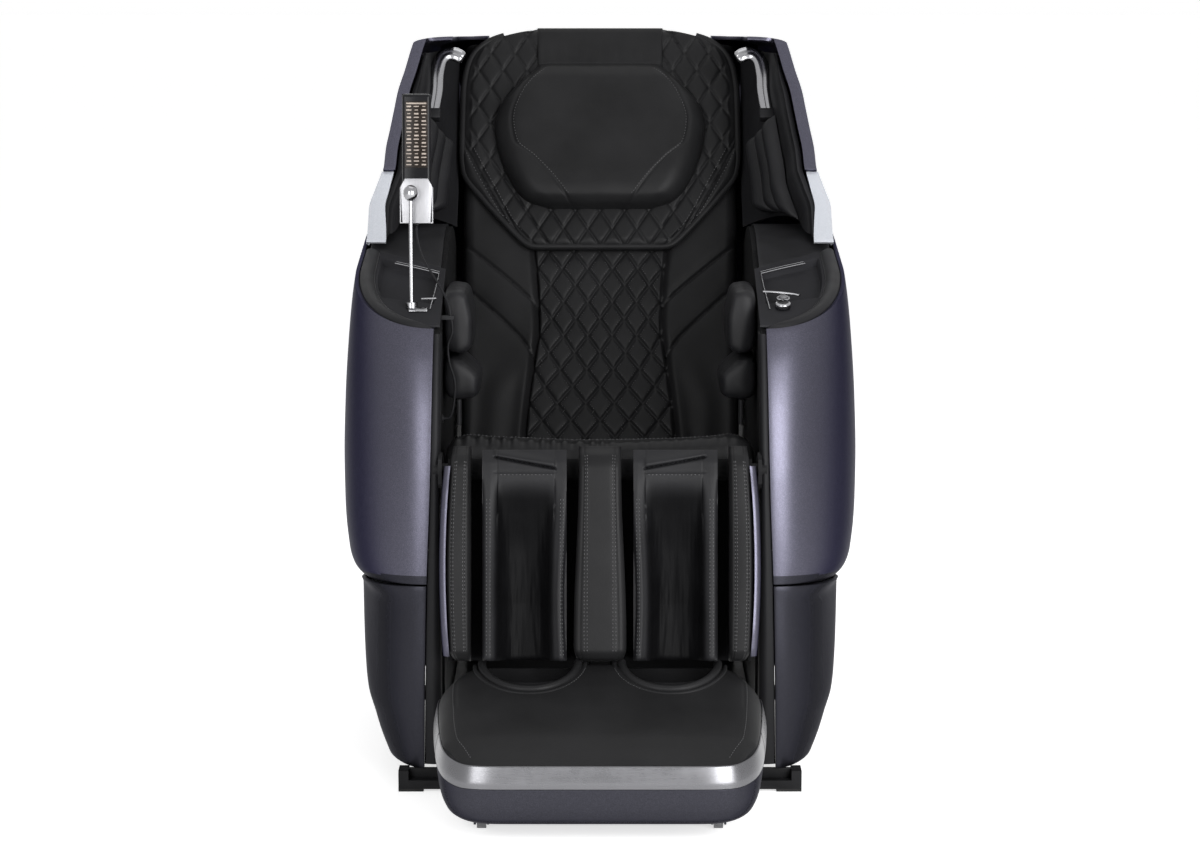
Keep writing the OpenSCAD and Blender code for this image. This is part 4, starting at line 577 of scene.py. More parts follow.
def thicken(piece, wall, offset=-1):
    finish_modifier(piece, "SOLIDIFY", thickness=wall * MM, offset=offset, use_even_offset=True)


def round_edges(piece, width, segments=2, angle=50):
    finish_modifier(piece, "BEVEL", width=width * MM, segments=segments, limit_method="ANGLE",
                    angle_limit=math.radians(angle), harden_normals=False)


def close_back(piece, back):
    """Extrudes the open border to back(point), in millimetres, and closes it there."""
    in_edit_mode(piece, bpy.ops.mesh.region_to_loop, bpy.ops.mesh.extrude_region_move)
    for vertex in piece.data.vertices:
        if vertex.select:
            vertex.co = Vector(back(vertex.co / MM)) * MM
    bpy.ops.object.mode_set(mode="EDIT")
    bpy.ops.mesh.edge_face_add()
    bpy.ops.mesh.select_all(action="SELECT")
    turn_outwards()
    bpy.ops.object.mode_set(mode="OBJECT")


def hard_cover(name, steps, place, wall, offset=-1, bevel=None, angle=40, where=UPRIGHT, outwards=True):
    """A shaped grid with a wall, its edges rounded where bevel is given."""
    piece = shaped_grid(name, steps, place)
    thicken(piece, wall, offset)
    if outwards:
        face_outwards(piece)
    if bevel:
        round_edges(piece, *bevel)
    smooth(piece, angle)
    return stand(piece, where)


def stuffed(name, steps, place, back, where=UPRIGHT, angle=70):
    """A shaped grid closed at its back: a cushion or pad."""
    piece = shaped_grid(name, steps, place)
    close_back(piece, back)
    smooth(piece, angle)
    return stand(piece, where)


def round_curve(name, points, radius, resolution, closed=False):
    """A round bar or cord along points, in millimetres, as a curve."""
    data = bpy.data.curves.new(name, "CURVE")
    data.dimensions = "3D"
    data.bevel_depth = radius * MM
    data.bevel_resolution = resolution
    data.use_fill_caps = not closed
    line = data.splines.new("POLY")
    line.points.add(len(points) - 1)
    line.use_cyclic_u = closed
    for point, place in zip(line.points, points):
        point.co = (*(Vector(place) * MM), 1)
    piece = bpy.data.objects.new(name, data)
    bpy.context.collection.objects.link(piece)
    return piece


def tube(name, points, radius, where=UPRIGHT, resolution=3, closed=False):
    """Round bar or piping along points, in millimetres, as a mesh."""
    select_only(round_curve(name, points, radius, resolution, closed))
    bpy.ops.object.convert(target="MESH")
    piece = bpy.context.object
    face_outwards(piece)
    smooth(piece, 60)
    return stand(piece, where)


def block(name, low, high, edge=1.5, where=UPRIGHT, segments=3):
    """A bevelled block between two corners, in millimetres."""
    piece = primitive("cube", name, size=1)
    move_points(piece, lambda p: [mix(low[k], high[k], p[k] + 0.5) for k in range(3)])
    round_edges(piece, edge, segments)
    smooth(piece)
    return stand(piece, where)


def disc(name, radius, height, where, edge, vertices=40, base=0.0):
    """A bevelled round slab standing on its frame's floor."""
    piece = primitive("cylinder", name, vertices=vertices, radius=radius * MM, depth=height * MM)
    stand(piece, moved(0, 0, base + height / 2))
    round_edges(piece, edge, 3)
    smooth(piece)
    return stand(piece, where)


def joined(name, *pieces):
    select_only(*pieces)
    bpy.ops.object.join()
    piece = bpy.context.object
    piece.name = piece.data.name = name
    return piece


def dress(piece, body, finish, *nodes, fill=None, slot=None):
    """Finish, body and slot of a piece, and the nodes it stands for; its fill is not used."""
    piece.data.materials.clear()
    piece.data.materials.append(finish)
    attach(piece, body)
    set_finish(piece, slot or SLOT_OF[finish.name])
    if nodes:
        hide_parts(*nodes)
    return piece


def both_sides(right, body, finish, *nodes, fill=None, slot=None):
    """Dresses a piece called NAME_right, and its mirrored copy with a mesh of its own, NAME_left."""
    select_only(right)
    bpy.ops.object.duplicate()
    left = bpy.context.object
    left.name = left.data.name = right.name.replace("_right", "_left")
    stand(left, Matrix.Scale(-1, 4, (1, 0, 0)))
    left.data.flip_normals()
    dress(right, body, finish, *nodes, fill=fill, slot=slot)
    dress(left, body, finish, *[node.replace("_right", "_left") for node in nodes], fill=fill, slot=slot)
    return right, left


def second_finish(piece, finish, chosen):
    """Gives the faces whose centre, in millimetres, passes the test a second finish."""
    piece.data.materials.append(finish)
    for face in piece.data.polygons:
        if chosen(face.center / MM):
            face.material_index = 1


def store_painted_shade(piece, level, where):
    """Stores painted shade from 0 to 1 on each point, from its place in its frame, in millimetres."""
    marks = piece.data.attributes.new("shade", "FLOAT", "POINT")
    home = where.inverted()
    for vertex, mark in zip(piece.data.vertices, marks.data):
        spot = (home @ vertex.co) / MM
        mark.value = level(abs(spot[0]), spot[2])


def stitched(name, cloth, paths, where, body, pitch=6.5, share=0.62, radius=0.75):
    """Rows of thread stitches laid on a finished piece along paths, in millimetres."""
    mesh = bmesh.new()
    for path in paths:
        points = even_points([where @ (Vector(p) * MM) for p in path], pitch * MM)
        for a, b in zip(points, points[1:]):
            ends = [cloth.closest_point_on_mesh(point) for point in (a, a.lerp(b, share))]
            if not all(found for found, *_ in ends):
                continue
            (_, p, up, _), (_, q, _, _) = ends
            along = q - p
            if not 1e-5 <= along.length <= 2 * pitch * MM:
                continue
            side = along.normalized().cross(up) * radius * MM
            high = up * radius * MM
            middle = p.lerp(q, 0.5) + up * 0.2 * MM
            ring = [mesh.verts.new(middle + out) for out in (side, high, -side, -high)]
            tips = [mesh.verts.new(p), mesh.verts.new(q)]
            for k in range(4):
                mesh.faces.new((ring[k], ring[(k + 1) % 4], tips[0]))
                mesh.faces.new((ring[(k + 1) % 4], ring[k], tips[1]))
    data = bpy.data.meshes.new(name)
    bmesh.ops.recalc_face_normals(mesh, faces=mesh.faces)
    mesh.to_mesh(data)
    mesh.free()
    piece = bpy.data.objects.new(name, data)
    bpy.context.collection.objects.link(piece)
    select_only(piece)
    bpy.ops.object.shade_smooth()
    return dress(piece, body, thread)


def stitched_pair(name, pieces, rows, where, body, **settings):
    """Stitches on a right piece and its twin; the rows are the right one's."""
    for (sign, word), cloth in zip(SIDES, pieces):
        paths = [[(sign * x, y, z) for x, y, z in row] for row in rows]
        stitched(f"{name}_{word}", cloth, paths, where, body, **settings)


# ---------- cord ----------

CORD_ROUTE = [(-294, -186, 887), (-294, -186, 876), (-291, -187, 858), (-284, -190, 838), (-272, -198, 816),
              (-256, -212, 792), (-243, -226, 768), (-238, -232, 745), (-236, -233, 722), (-243, -233, 700),
              (-241, -233, 672), (-233, -233, 644), (-233, -233, 618), (-236, -233, 596), (-241, -233, 584),
              (-246, -233, 582), (-251, -233, 582)]


def make_cord():
    route = spline(CORD_ROUTE)
    lead = round_curve("remote_lead", route, CORD_D / 2, 4)
    dress(lead, "chassis", black_plastic, "remote_cord")
    line_length(route) * MM


# ---------- side pods ----------

FRONT_LINE = [(0, 40), (100, 20), (250, 3), (390, 0), (500, 4), (600, 22), (680, 50), (735, 80), (760, 96)]
FRONT_WIDTH = [(0, 27), (340, 19), (500, 13), (760, 8.4)]
POD_WIDTH = [(20, 80), (66, 60), (98, 50), (131, 40), (164, 37), (230, 35), (300, 34), (330, 12), (360, 7),
             (394, 3), (430, 1), (496, 0), (597, 3), (697, 10), (764, 17), (831, 28), (860, 34)]
ARC_LOW = -math.asin((RECLINE_Z - POD_BOTTOM - 6) / POD_R)
# The upper panel's lower lip: its share of the height, how far it draws in, and its dark band
LIP_SHARE, LIP_IN, LIP_BAND = 0.1, 18, 13


def arc_point(a):
    return Vector((RECLINE_Y + POD_R * math.cos(a), RECLINE_Z + POD_R * math.sin(a)))


def arc_z(y):
    return RECLINE_Z + math.sqrt(max(0.0, POD_R ** 2 - (y - RECLINE_Y) ** 2))


ARM_RISE = (arc_z(ARC_FRONT_Y) - ARM_FRONT_Z) / (ARC_FRONT_Y + ARM_FRONT_Y)


def arm_line(y):
    return ARM_FRONT_Z + ARM_RISE * (y + ARM_FRONT_Y)


def front_y(z):
    return -POD_FRONT + curve(z, FRONT_LINE)


def front_x(z):
    return CABIN_HALF_W + curve(z, FRONT_WIDTH)


def pod_x(z):
    return POD_HALF_W - curve(z, POD_WIDTH)


def split_at(y):
    return SPLIT_Z - SPLIT_FALL * (y + POD_FRONT)


TOP_REAR_Y = arc_point(ARC_END)[0]
REAR_SPLIT_Z = split_at(RECLINE_Y + POD_R * math.cos(math.radians(15)))
REAR_SPLIT_A = -math.asin((RECLINE_Z - REAR_SPLIT_Z) / POD_R)
REAR_SPLIT_Y = arc_point(REAR_SPLIT_A)[0]


def patch(front, rear, bottom, top, u, v):
    """Side-view point inside four border curves."""
    return (front(v).lerp(rear(v), u) + bottom(u).lerp(top(u), v)
            - front(0).lerp(rear(0), u).lerp(front(1).lerp(rear(1), u), v))


def pod_top(u):
    y = mix(-ARM_FRONT_Y, TOP_REAR_Y, u)
    return Vector((y, arm_line(y) if y < ARC_FRONT_Y else arc_z(y)))


def upper_front(v):
    z = mix(split_at(-POD_FRONT), ARM_FRONT_Z, v)
    return Vector((front_y(z), z))


def upper_rear(v):
    return arc_point(mix(REAR_SPLIT_A, ARC_END, v))


def upper_bottom(u):
    y = mix(front_y(SPLIT_Z), REAR_SPLIT_Y, u)
    return Vector((y, mix(split_at(y), REAR_SPLIT_Z, clamp((u - REAR_U) / (1 - REAR_U)))))


def split_under(y):
    """Height of the upper panel's lower edge at a depth."""
    front = front_y(SPLIT_Z)
    return upper_bottom(clamp((y - front) / (REAR_SPLIT_Y - front)))[1]


def lower_front(v):
    z = mix(POD_BOTTOM, SPLIT_Z - SPLIT_GAP, v)
    return Vector((front_y(z), z))


def lower_rear(v):
    return arc_point(mix(ARC_LOW, REAR_SPLIT_A - math.asin(SPLIT_GAP / POD_R), v))


def lower_top(u):
    return upper_bottom(u) - Vector((0, SPLIT_GAP))


def lower_bottom(u):
    return Vector((mix(front_y(POD_BOTTOM), arc_point(ARC_LOW)[0], u), POD_BOTTOM + 6 * u))


def pod_share(a):
    """Share of depth for an even step a, with more steps in the curved ends."""
    if a < 0.45:
        return FRONT_U * (1 - math.cos(math.pi / 2 * a / 0.45))
    if a < 0.55:
        return mix(FRONT_U, REAR_U, (a - 0.45) / 0.1)
    return REAR_U + (1 - REAR_U) * math.sin(math.pi / 2 * (a - 0.55) / 0.45)


def pod_rear_x(u, widest):
    """Half width from the widest part back to the narrow rear."""
    return widest if u < REAR_U else mix(POD_REAR_X, widest, bulge((1 - u) / (1 - REAR_U)))


def pod_point(borders, a, v, draw):
    u = pod_share(a)
    y, z = patch(*borders, u, v)
    widest = pod_x(z) - draw
    x = mix(front_x(z), widest, bulge(u / FRONT_U)) if u < FRONT_U else pod_rear_x(u, widest)
    return x, y, z


def upper_point(a, b):
    v = LIP_SHARE * (b / 0.25) ** 1.4 if b < 0.25 else mix(LIP_SHARE, 1, (b - 0.25) / 0.75)
    return pod_point((upper_front, upper_rear, upper_bottom, pod_top), a, v,
                     LIP_IN * (1 - bulge(v / LIP_SHARE)))


def lower_point(a, b):
    """Lower panel, with a soft crease that leans back from its front lower corner."""
    x, y, z = pod_point((lower_front, lower_rear, lower_bottom, lower_top), a, b, 0)
    line = -250 + (z - POD_BOTTOM) * 0.45
    return x + 3.5 * math.exp(-((y - line) / 60) ** 2) * ease(a * 5), y, z


def make_pods():
    upper = hard_cover("side_panel_right", (84, 60), upper_point, POD_WALL, bevel=(1.6, 3), angle=35,
                       outwards=False)
    for panel in both_sides(upper, "chassis", side_paint, "upper_panel_right"):
        second_finish(panel, lower_paint, lambda p: p[2] < split_under(p[1]) + LIP_BAND)
    lower = hard_cover("lower_side_panel_right", (84, 36), lower_point, POD_WALL, bevel=(1.2, 2), angle=35,
                       outwards=False)
    both_sides(lower, "chassis", lower_paint, "lower_panel_right")


# ---------- arms ----------

CONSOLE_BACK_Y = -50
ROLL_W = 30
TOP_EDGE_END = (ARC_FRONT_Y + ARM_FRONT_Y) / (TOP_REAR_Y + ARM_FRONT_Y)


def top_edge(u):
    """Inner top edge of the side panel."""
    y, z = pod_top(u)
    x = mix(front_x(z), pod_x(z) - POD_WALL, bulge(u / FRONT_U))
    return Vector((x - 0.3, y + POD_WALL * max(0, 1 - u / FRONT_U), z))


def console_row(s):
    """Inner and outer end of the arm's top at share s from front to rear."""
    outer = top_edge(mix(0.004, TOP_EDGE_END, s))
    y = mix(outer[1], mix(-ARM_FRONT_Y, CONSOLE_BACK_Y, s), clamp(s * 4))
    return Vector((CABIN_HALF_W, y, arm_line(y))), outer


def from_outer(row, distance):
    return 1 - min(0.8, distance / (row[1] - row[0]).length)


def rim_point(a, b):
    """Padded roll along the arm's outer edge: a across it, b from front to rear."""
    row = console_row(mix(0.004, 1, b))
    turn = math.pi * a
    x, y, z = row[0].lerp(row[1], from_outer(row, ROLL_W * (1 - math.cos(turn)) / 2))
    high = -7 + 12 * math.sin(turn) ** 0.72 * bulge(min(b, 1 - b) * 26)
    return x, y, z + high + 0.5 * ripple(x, y, z, 26)


def console_point(a, b):
    """Console plate with its tray: a from the inner edge to the rim, b from front to rear."""
    row = console_row(mix(0.03, 1, b))
    x, y, z = row[0].lerp(row[1], a * from_outer(row, ROLL_W - 3))
    width = (row[1] - row[0]).length
    across = ease((a * width - 17) / 3) * ease(((1 - a) * width - 8) / 5)
    along = ease((b - 0.38) / 0.02) * ease((0.93 - b) / 0.025)
    return x, y, z - (1.6 + 13 * across * along)


def cabin_edge_point(a, b):
    """Padded strip that closes the pod's front beside the cabin: a round its section, b up."""
    z = mix(POD_BOTTOM + 7, ARM_FRONT_Z - 9, b)
    round_share = a * 2.2 - 0.5
    turn = math.pi / 2 * clamp(round_share)
    x = mix(CABIN_HALF_W - 0.4, front_x(z) - 0.4, clamp(round_share * 0.55) ** 1.2)
    y = front_y(z) + 6 + 6 * (1 - math.sin(turn)) + max(0, 0.23 - a) * 150 - 3 * math.sin(math.pi * a)
    return x, y, z


REAR_COVER_START = math.acos((ARC_FRONT_Y - RECLINE_Y) / POD_R)
REAR_COVER_FLAT = 0.12


def rear_cover_point(a, b):
    """Cover over the pod's rear between the liner and the panel: a across, b from the console back."""
    angle = mix(REAR_COVER_START, ARC_LOW, max(0, (b - REAR_COVER_FLAT) / (1 - REAR_COVER_FLAT)))
    y, z = arc_point(angle)
    edge = POD_REAR_X
    if angle > ARC_END:
        edge = pod_rear_x((y + ARM_FRONT_Y) / (TOP_REAR_Y + ARM_FRONT_Y), pod_x(z) - POD_WALL)
    x = mix(LINER_OUT + 0.3, edge - POD_WALL - 0.3, a)
    if b >= REAR_COVER_FLAT:
        return x, y - 2 * math.cos(angle), z - 2 * math.sin(angle)
    inner, outer = console_row(1)
    first = mix(inner[1], outer[1], (x - inner[0]) / (outer[0] - inner[0])) + 1
    y = mix(first, ARC_FRONT_Y, b / REAR_COVER_FLAT)
    return x, y, arm_line(y) - 2


def make_arms():
    roll = hard_cover("arm_rest_roll_right", (16, 110), rim_point, 3, offset=1, angle=60)
    rolls = both_sides(roll, "chassis", board_leather, "arm_rim_right", fill=0.8)
    stitched_pair("arm_roll_stitches", rolls, [[rim_point(0.84, k / 60) for k in range(1, 60)]], UPRIGHT,
                  "chassis")
    console = hard_cover("console_tray_right", (70, 110), console_point, 3, angle=35)
    both_sides(console, "chassis", tray_plastic, "consoles")
    strip = hard_cover("cabin_edge_pad_right", (18, 60), cabin_edge_point, 2, offset=1, angle=60)
    both_sides(strip, "chassis", board_leather, fill=0.7)
    cover = hard_cover("rear_shoulder_cover_right", (16, 80), rear_cover_point, 8)
    both_sides(cover, "chassis", black_plastic, "rear_cover_right")


# ---------- console details ----------

CONSOLE_BARS = (([(263, -74), (300, -51), (338, -30)], 1.9, 0.5),
                ([(263, -66), (300, -43), (336, -23)], 1.1, 0.5),
                ([(264, -72), (266, -120), (269, -172), (272, -222)], 1.0, 0.8))
CONSOLE_BLADES = (("right", [(264, -150), (288, -153), (312, -160), (322, -166)], 3.6),
                  ("left", [(-264, -178), (-276, -179), (-288, -180)], 3.0))
KNOB_RIDGES = 24
BEZEL_R = 9.2


def on_arm(x, y, lift=0.0):
    """Frame lying on the console plate at a place."""
    return moved(x, y, arm_line(y) - 2 + lift) @ Matrix.Rotation(math.atan(ARM_RISE), 4, "X")


def chrome_bar(name, points, radius, flat=0.5):
    """Flattened bright bar that lies on the console along points (x, y)."""
    bar = tube(name, spline([(x, y, arm_line(y) + 0.2) for x, y in points]), radius, resolution=4)
    for vertex in bar.data.vertices:
        base = (arm_line(vertex.co.y / MM) + 0.2) * MM
        vertex.co.z = mix(base, vertex.co.z, flat)
    return bar


def make_knob():
    at_knob = on_arm(KNOB_X, -KNOB_Y)
    knob = disc("quick_control_knob", 12.6, 10, at_knob, edge=2.2, vertices=64, base=0.8)
    for vertex in knob.data.vertices:
        local = at_knob.inverted() @ vertex.co
        if local.z < 8.5 * MM and math.hypot(local.x, local.y) > 11 * MM:
            local.xy *= 1 - 0.03 * (1 + math.cos(KNOB_RIDGES * math.atan2(local.y, local.x)))
            vertex.co = at_knob @ local
    dress(knob, "quick_knob", chrome, "quick_knob")
    dress(disc("knob_face", 9.5, 1.2, on_arm(KNOB_X, -KNOB_Y, 10.4), edge=0.5), "quick_knob", piano_black)
    pointer = block("knob_pointer", (-0.9, 3, 0), (0.9, 8.6, 1.6), 0.4, on_arm(KNOB_X, -KNOB_Y, 10.6))
    dress(pointer, "quick_knob", grey_plastic)


def make_console_details():
    for sign, word in SIDES:
        pieces = [chrome_bar("bar", [(sign * x, y) for x, y in points], radius, flat)
                  for points, radius, flat in CONSOLE_BARS]
        dress(joined(f"console_chrome_bars_{word}", *pieces), "chassis", chrome, "console_trims")
    for word, points, radius in CONSOLE_BLADES:
        dress(chrome_bar(f"console_chrome_blade_{word}", points, radius), "chassis", chrome, "console_trims")
    make_knob()
    at_button = on_arm(KNOB_X + 2, -KNOB_Y + 34)
    turns = [k * math.pi / 16 for k in range(32)]
    circle = [(BEZEL_R * math.cos(turn), BEZEL_R * math.sin(turn), 3.6) for turn in turns]
    dress(tube("button_bezel", circle, 2.1, at_button, closed=True), "chassis", chrome, "console_trims")
    cap = disc("pause_button_cap", 6.6, 5, at_button, edge=1.4, base=3.7)
    dress(cap, "pause_button", grey_plastic, "pause_button")


def make_base_skirts():
    """Dark plates that stand on the base's front bar, under the pods."""
    both_sides(block("base_skirt_right", (240, -340, 16), (321, -334, 34.2), 0.8), "base", dark_steel)


# ---------- soft arm bags ----------

BAG_R, BAG_CROWN = 11, 4
BAG_TOP = arm_line(-115) - 1.5
BAG_SPLIT = BAG_TOP - 108
# Word, inner face, bottom, top, front, rear, seed of the unevenness, how far the top leans out
ARM_BAGS = (("upper", 203, BAG_SPLIT + 2, BAG_TOP, -200, -30, 3.0, 6),
            ("lower", 193, BAG_SPLIT - 73, BAG_SPLIT - 1, -200, -40, 40.0, 26))


def soft_block(name, low, high, seed, lean):
    """A stuffed pad between two corners: rounded, crowned and creased; lean narrows its top."""
    piece = primitive("cube", name, size=2)
    in_edit_mode(piece, lambda: bpy.ops.mesh.subdivide(number_cuts=14))
    low, high = Vector(low), Vector(high)
    centre, half = (low + high) / 2, (high - low) / 2

    def bag_point(c):
        core = Vector(max(-1, min(1, c[k] * 1.25)) * (half[k] - BAG_R - BAG_CROWN) for k in range(3))
        out = Vector(c[k] ** 3 for k in range(3)).normalized()
        dome = 1 - 0.5 * (c[0] ** 2 * c[1] ** 2 + c[1] ** 2 * c[2] ** 2 + c[2] ** 2 * c[0] ** 2)
        p = centre + core + out * (BAG_R + BAG_CROWN * dome)
        p += out * 1.6 * ripple(p[0] + seed, p[1], p[2] * 0.6, 20)
        p -= out * crease(min(abs(p[2] - low[2] - 9), abs(high[2] - 9 - p[2])), 1.6, 1.6) * max(0, -out[1])
        p[0] += lean * ease((p[2] - centre[2]) / half[2]) * (high[0] - p[0]) / (high[0] - low[0])
        return p

    move_points(piece, bag_point)
    finish_modifier(piece, "SUBSURF", levels=1, render_levels=1)
    smooth(piece, 80)
    return piece


def make_arm_bags():
    for word, x_in, z_low, z_high, y_low, y_high, seed, lean in ARM_BAGS:
        bag = soft_block(f"{word}_arm_bag_right", (x_in, y_low, z_low), (CABIN_HALF_W - 0.5, y_high, z_high),
                         seed, lean)
        both_sides(bag, "chassis", soft_leather, "arm_airbags", fill=0.6)
    x = CABIN_HALF_W - 26
    hoses = [tube("hose", [(x, y, BAG_SPLIT - 112), (x, y, BAG_SPLIT - 71)], 4) for y in (-190, -172)]
    both_sides(joined("arm_bag_hoses_right", *hoses), "chassis", black_plastic)


# ---------- seat ----------

SEAT_LINE = [(-316, 520), (-313, 540), (-305, 557), (-290, 566), (-260, 565), (-200, 552),
             (-60, 498.7), (60, 458), (120, 450), (140, 438)]
SEAT_SEAM_Y = -262


def spread_out(a, power):
    """Steps from -1 to 1 that are closer together near both ends."""
    t = 2 * a - 1
    return math.copysign(1 - (1 - abs(t)) ** power, t)


def seat_point(a, b):
    t = spread_out(a, 1.15)
    y = mix(SEAT_FRONT_Y, SEAT_REAR_Y, 0.22 * (b / 0.4) ** 1.6 if b < 0.4 else mix(0.22, 1, (b - 0.4) / 0.6))
    x = t * SEAT_HALF_W
    inner = bulge((1 - abs(t)) / 0.2)
    dip = mix(14, 4, ease((y + 180) / 60)) * (1 - t * t)
    z = curve(y, SEAT_LINE) - dip - 34 * (1 - inner)
    gathers = math.exp(-((y + 292) / 24) ** 2) * mix(0.35, 1.0, ease((40 - x) / 60))
    z += 2.6 * gathers * math.sin(x / 3.1 + 2.6 * ripple(x, 0, 0, 40)) * inner
    z += (1.6 * ripple(x, y, 7, 55) - crease(y - SEAT_SEAM_Y, 2.4, 2.2)) * inner
    return x, y, z


def seat_back(p):
    share = (p[1] - SEAT_FRONT_Y) / (SEAT_REAR_Y - SEAT_FRONT_Y)
    return p[0], p[1], mix(SEAT_FRONT_Z, SEAT_REAR_Z, share) - SEAT_T


def make_seat():
    seat = stuffed("seat_pad", (190, 120), seat_point, seat_back, angle=60)
    dress(seat, "chassis", leather, "seat_cushion", fill=0.7)
    seam = [(x, SEAT_SEAM_Y + 5, curve(SEAT_SEAM_Y, SEAT_LINE)) for x in range(-228, 229, 6)]
    stitched("seat_stitches", seat, [seam], UPRIGHT, "chassis")


# ---------- back cushion, head pad and pillow ----------

CUSHION_LOW = HEAD_PAD_Z - QUILT_ROWS * QUILT_STEP
CUSHION_TOP = BACK_LEN - 30
CUSHION_ROWS = ((0, CUSHION_LOW - 1), (0.85, HEAD_PAD_Z + 8), (1, CUSHION_TOP))
CUSHION_COLS = ((0, 0), (0.6, 0.5), (1, 1))
WAIST = [(0, 1.26), (110, 1.18), (210, 1.06), (260, 1), (330, 1.02), (402, 1.08)]
# Sewn lines across the cushion's sides: distance along the back at the centre panel and at the edge
SIDE_SEAMS = ((294, 418), (200, 340))


def waist(z):
    return QUILT_HALF_W * curve(min(z, HEAD_PAD_Z), WAIST)


def centre_relief(t, z, w):
    """Quilting of the middle panel."""
    cell_x = 10 * t
    cell_z = (z - CUSHION_LOW) / QUILT_STEP
    relief = 1.5 + quilted((cell_x + cell_z) / 2, (cell_x - cell_z) / 2, 34 * w / QUILT_HALF_W, 4.6)
    return relief - crease(0.5 - abs(t), 0.008, 4)


def side_relief(share, x, z):
    """Channels and loose folds of a side panel, at a share from the middle panel to the edge."""
    relief = 9.5 * ease(share * 9) - 24 * (1 - bulge((1 - share) / 0.16)) - crease(share, 0.022, 5)
    for inner, outer in SIDE_SEAMS:
        distance = (z - mix(inner, outer, share ** 0.85)) * 0.78
        relief -= crease(distance, 2.2, 4.5) + crease(distance, 13, 2.5)
    fold = math.sin(share * 13 + z / 60 + 1.5 * ripple(x, 0, z, 90)) * ease((230 - z) / 110)
    return relief + 1.6 * fold * ease(share * 4) * ease((1 - share) * 4) + 2.0 * ripple(x, 0, z, 70)


def cushion_point(a, b):
    z = ramp(b, CUSHION_ROWS)
    t = math.copysign(ramp(abs(2 * a - 1), CUSHION_COLS), 2 * a - 1)
    w = waist(z)
    if abs(t) <= 0.5:
        x = w * t / 0.5
        relief = centre_relief(t, z, w)
    else:
        share = (abs(t) - 0.5) / 0.5
        x = math.copysign(mix(w, BACK_HALF_W, share), t)
        relief = side_relief(share, x, z)
    return x, 24 - CUSHION_Y - 16 * bulge((z - CUSHION_LOW) / 26) - relief, z


def make_back_cushion():
    cushion = stuffed("back_rest_pad", (220, 290), cushion_point,
                      lambda p: (p[0], CUSHION_T - CUSHION_Y, p[2]), BACK)
    dress(cushion, "back", leather, "back_cushion", fill=0.8)
    rows = []
    for k in range(-12, 18):
        for lean in (-1, 1):
            row = []
            for z in range(int(CUSHION_LOW) + 4, HEAD_PAD_Z + 4, 5):
                cell = 2 * k + lean * (z - CUSHION_LOW) / QUILT_STEP
                if abs(cell) < 4.9:
                    row.append((waist(z) * cell / 5, -CUSHION_Y - 12, z))
            if len(row) > 1:
                rows.append(row)
    stitched("quilt_stitches", cushion, rows, BACK, "back", pitch=5, share=0.55, radius=0.55)


HEAD_TOP = BACK_LEN - 7
HEAD_BACK_Y = -CUSHION_Y - 0.3
HEAD_CELL_W, HEAD_CELL_H = 43, 67
HEAD_OUTLINE = [(402, 0.5), (408, 0.53), (450, 0.69), (500, 0.86), (545, 0.985), (585, 1), (700, 0.995),
                (740, 0.975), (772, 0.93), (800, 0.8), (822, 0.48)]
# Ends of the line between the smooth side band and the quilting
BAND_FOOT, BAND_TOP = (150, 424), (236, 590)


def head_w(z):
    return HEAD_HALF_W * curve(z, HEAD_OUTLINE)


def band_share(x, z):
    """Distance inside the line between the smooth side band and the quilting, negative in the band."""
    (x0, z0), (x1, z1) = BAND_FOOT, BAND_TOP
    return ((z - z0) * (x1 - x0) - (abs(x) - x0) * (z1 - z0)) / math.hypot(x1 - x0, z1 - z0)


def head_point(a, b):
    z = mix(HEAD_PAD_Z, HEAD_TOP, b)
    t = 2 * a - 1
    x = t * head_w(z)
    from_side = (1 - abs(t)) * head_w(z)
    edge = bulge(min(from_side, min(z - HEAD_PAD_Z, HEAD_TOP - z) + 2) / 20)
    line = band_share(x, z)
    inside = ease((line - 3) / 5) * ease((from_side - 14) / 6)
    quilt = quilted(x / HEAD_CELL_W + z / HEAD_CELL_H, x / HEAD_CELL_W - z / HEAD_CELL_H, 36, 3.8)
    relief = HEAD_T - 5 + quilt * inside + 4.5 * ease(-line / 12)
    relief -= crease(line, 1.8, 3.2) + crease(line - 7, 1.8, 2.4)
    return x, HEAD_BACK_Y - 4 - relief * edge, z


def make_head_pad():
    pad = stuffed("head_rest_pad", (230, 220), head_point, lambda p: (p[0], HEAD_BACK_Y, p[2]), BACK)
    dress(pad, "back", leather, "head_pad", fill=0.7)
    y = HEAD_BACK_Y - 13
    right = [(head_w(z) - 3, y, z) for z in range(HEAD_PAD_Z + 4, HEAD_PAD_Z + 412, 6)]
    bottom = [(x, y, HEAD_PAD_Z + 3) for x in range(-116, 120, 8)]
    left = [(-x, y, z) for x, y, z in reversed(right)]
    line = rounded_line([Vector(p) for p in left + bottom + right], 240, 6)
    dress(tube("head_rest_piping", line, 6.2, BACK, resolution=4), "back", leather)
    (x0, z0), (x1, z1) = BAND_FOOT, BAND_TOP
    rows = []
    for sign in (-1, 1):
        for shift in (-4, 11):
            rows.append([(sign * (mix(x0, x1, k / 30) - shift * 0.86), HEAD_BACK_Y - 26,
                          mix(z0, z1, k / 30) + shift * 0.42) for k in range(31)])
    stitched("head_rest_stitches", pad, rows, BACK, "back")


PILLOW_TOP = BACK_LEN - 8
PILLOW_BACK_Y = HEAD_BACK_Y - HEAD_T - 0.4
FLAP_H = 74
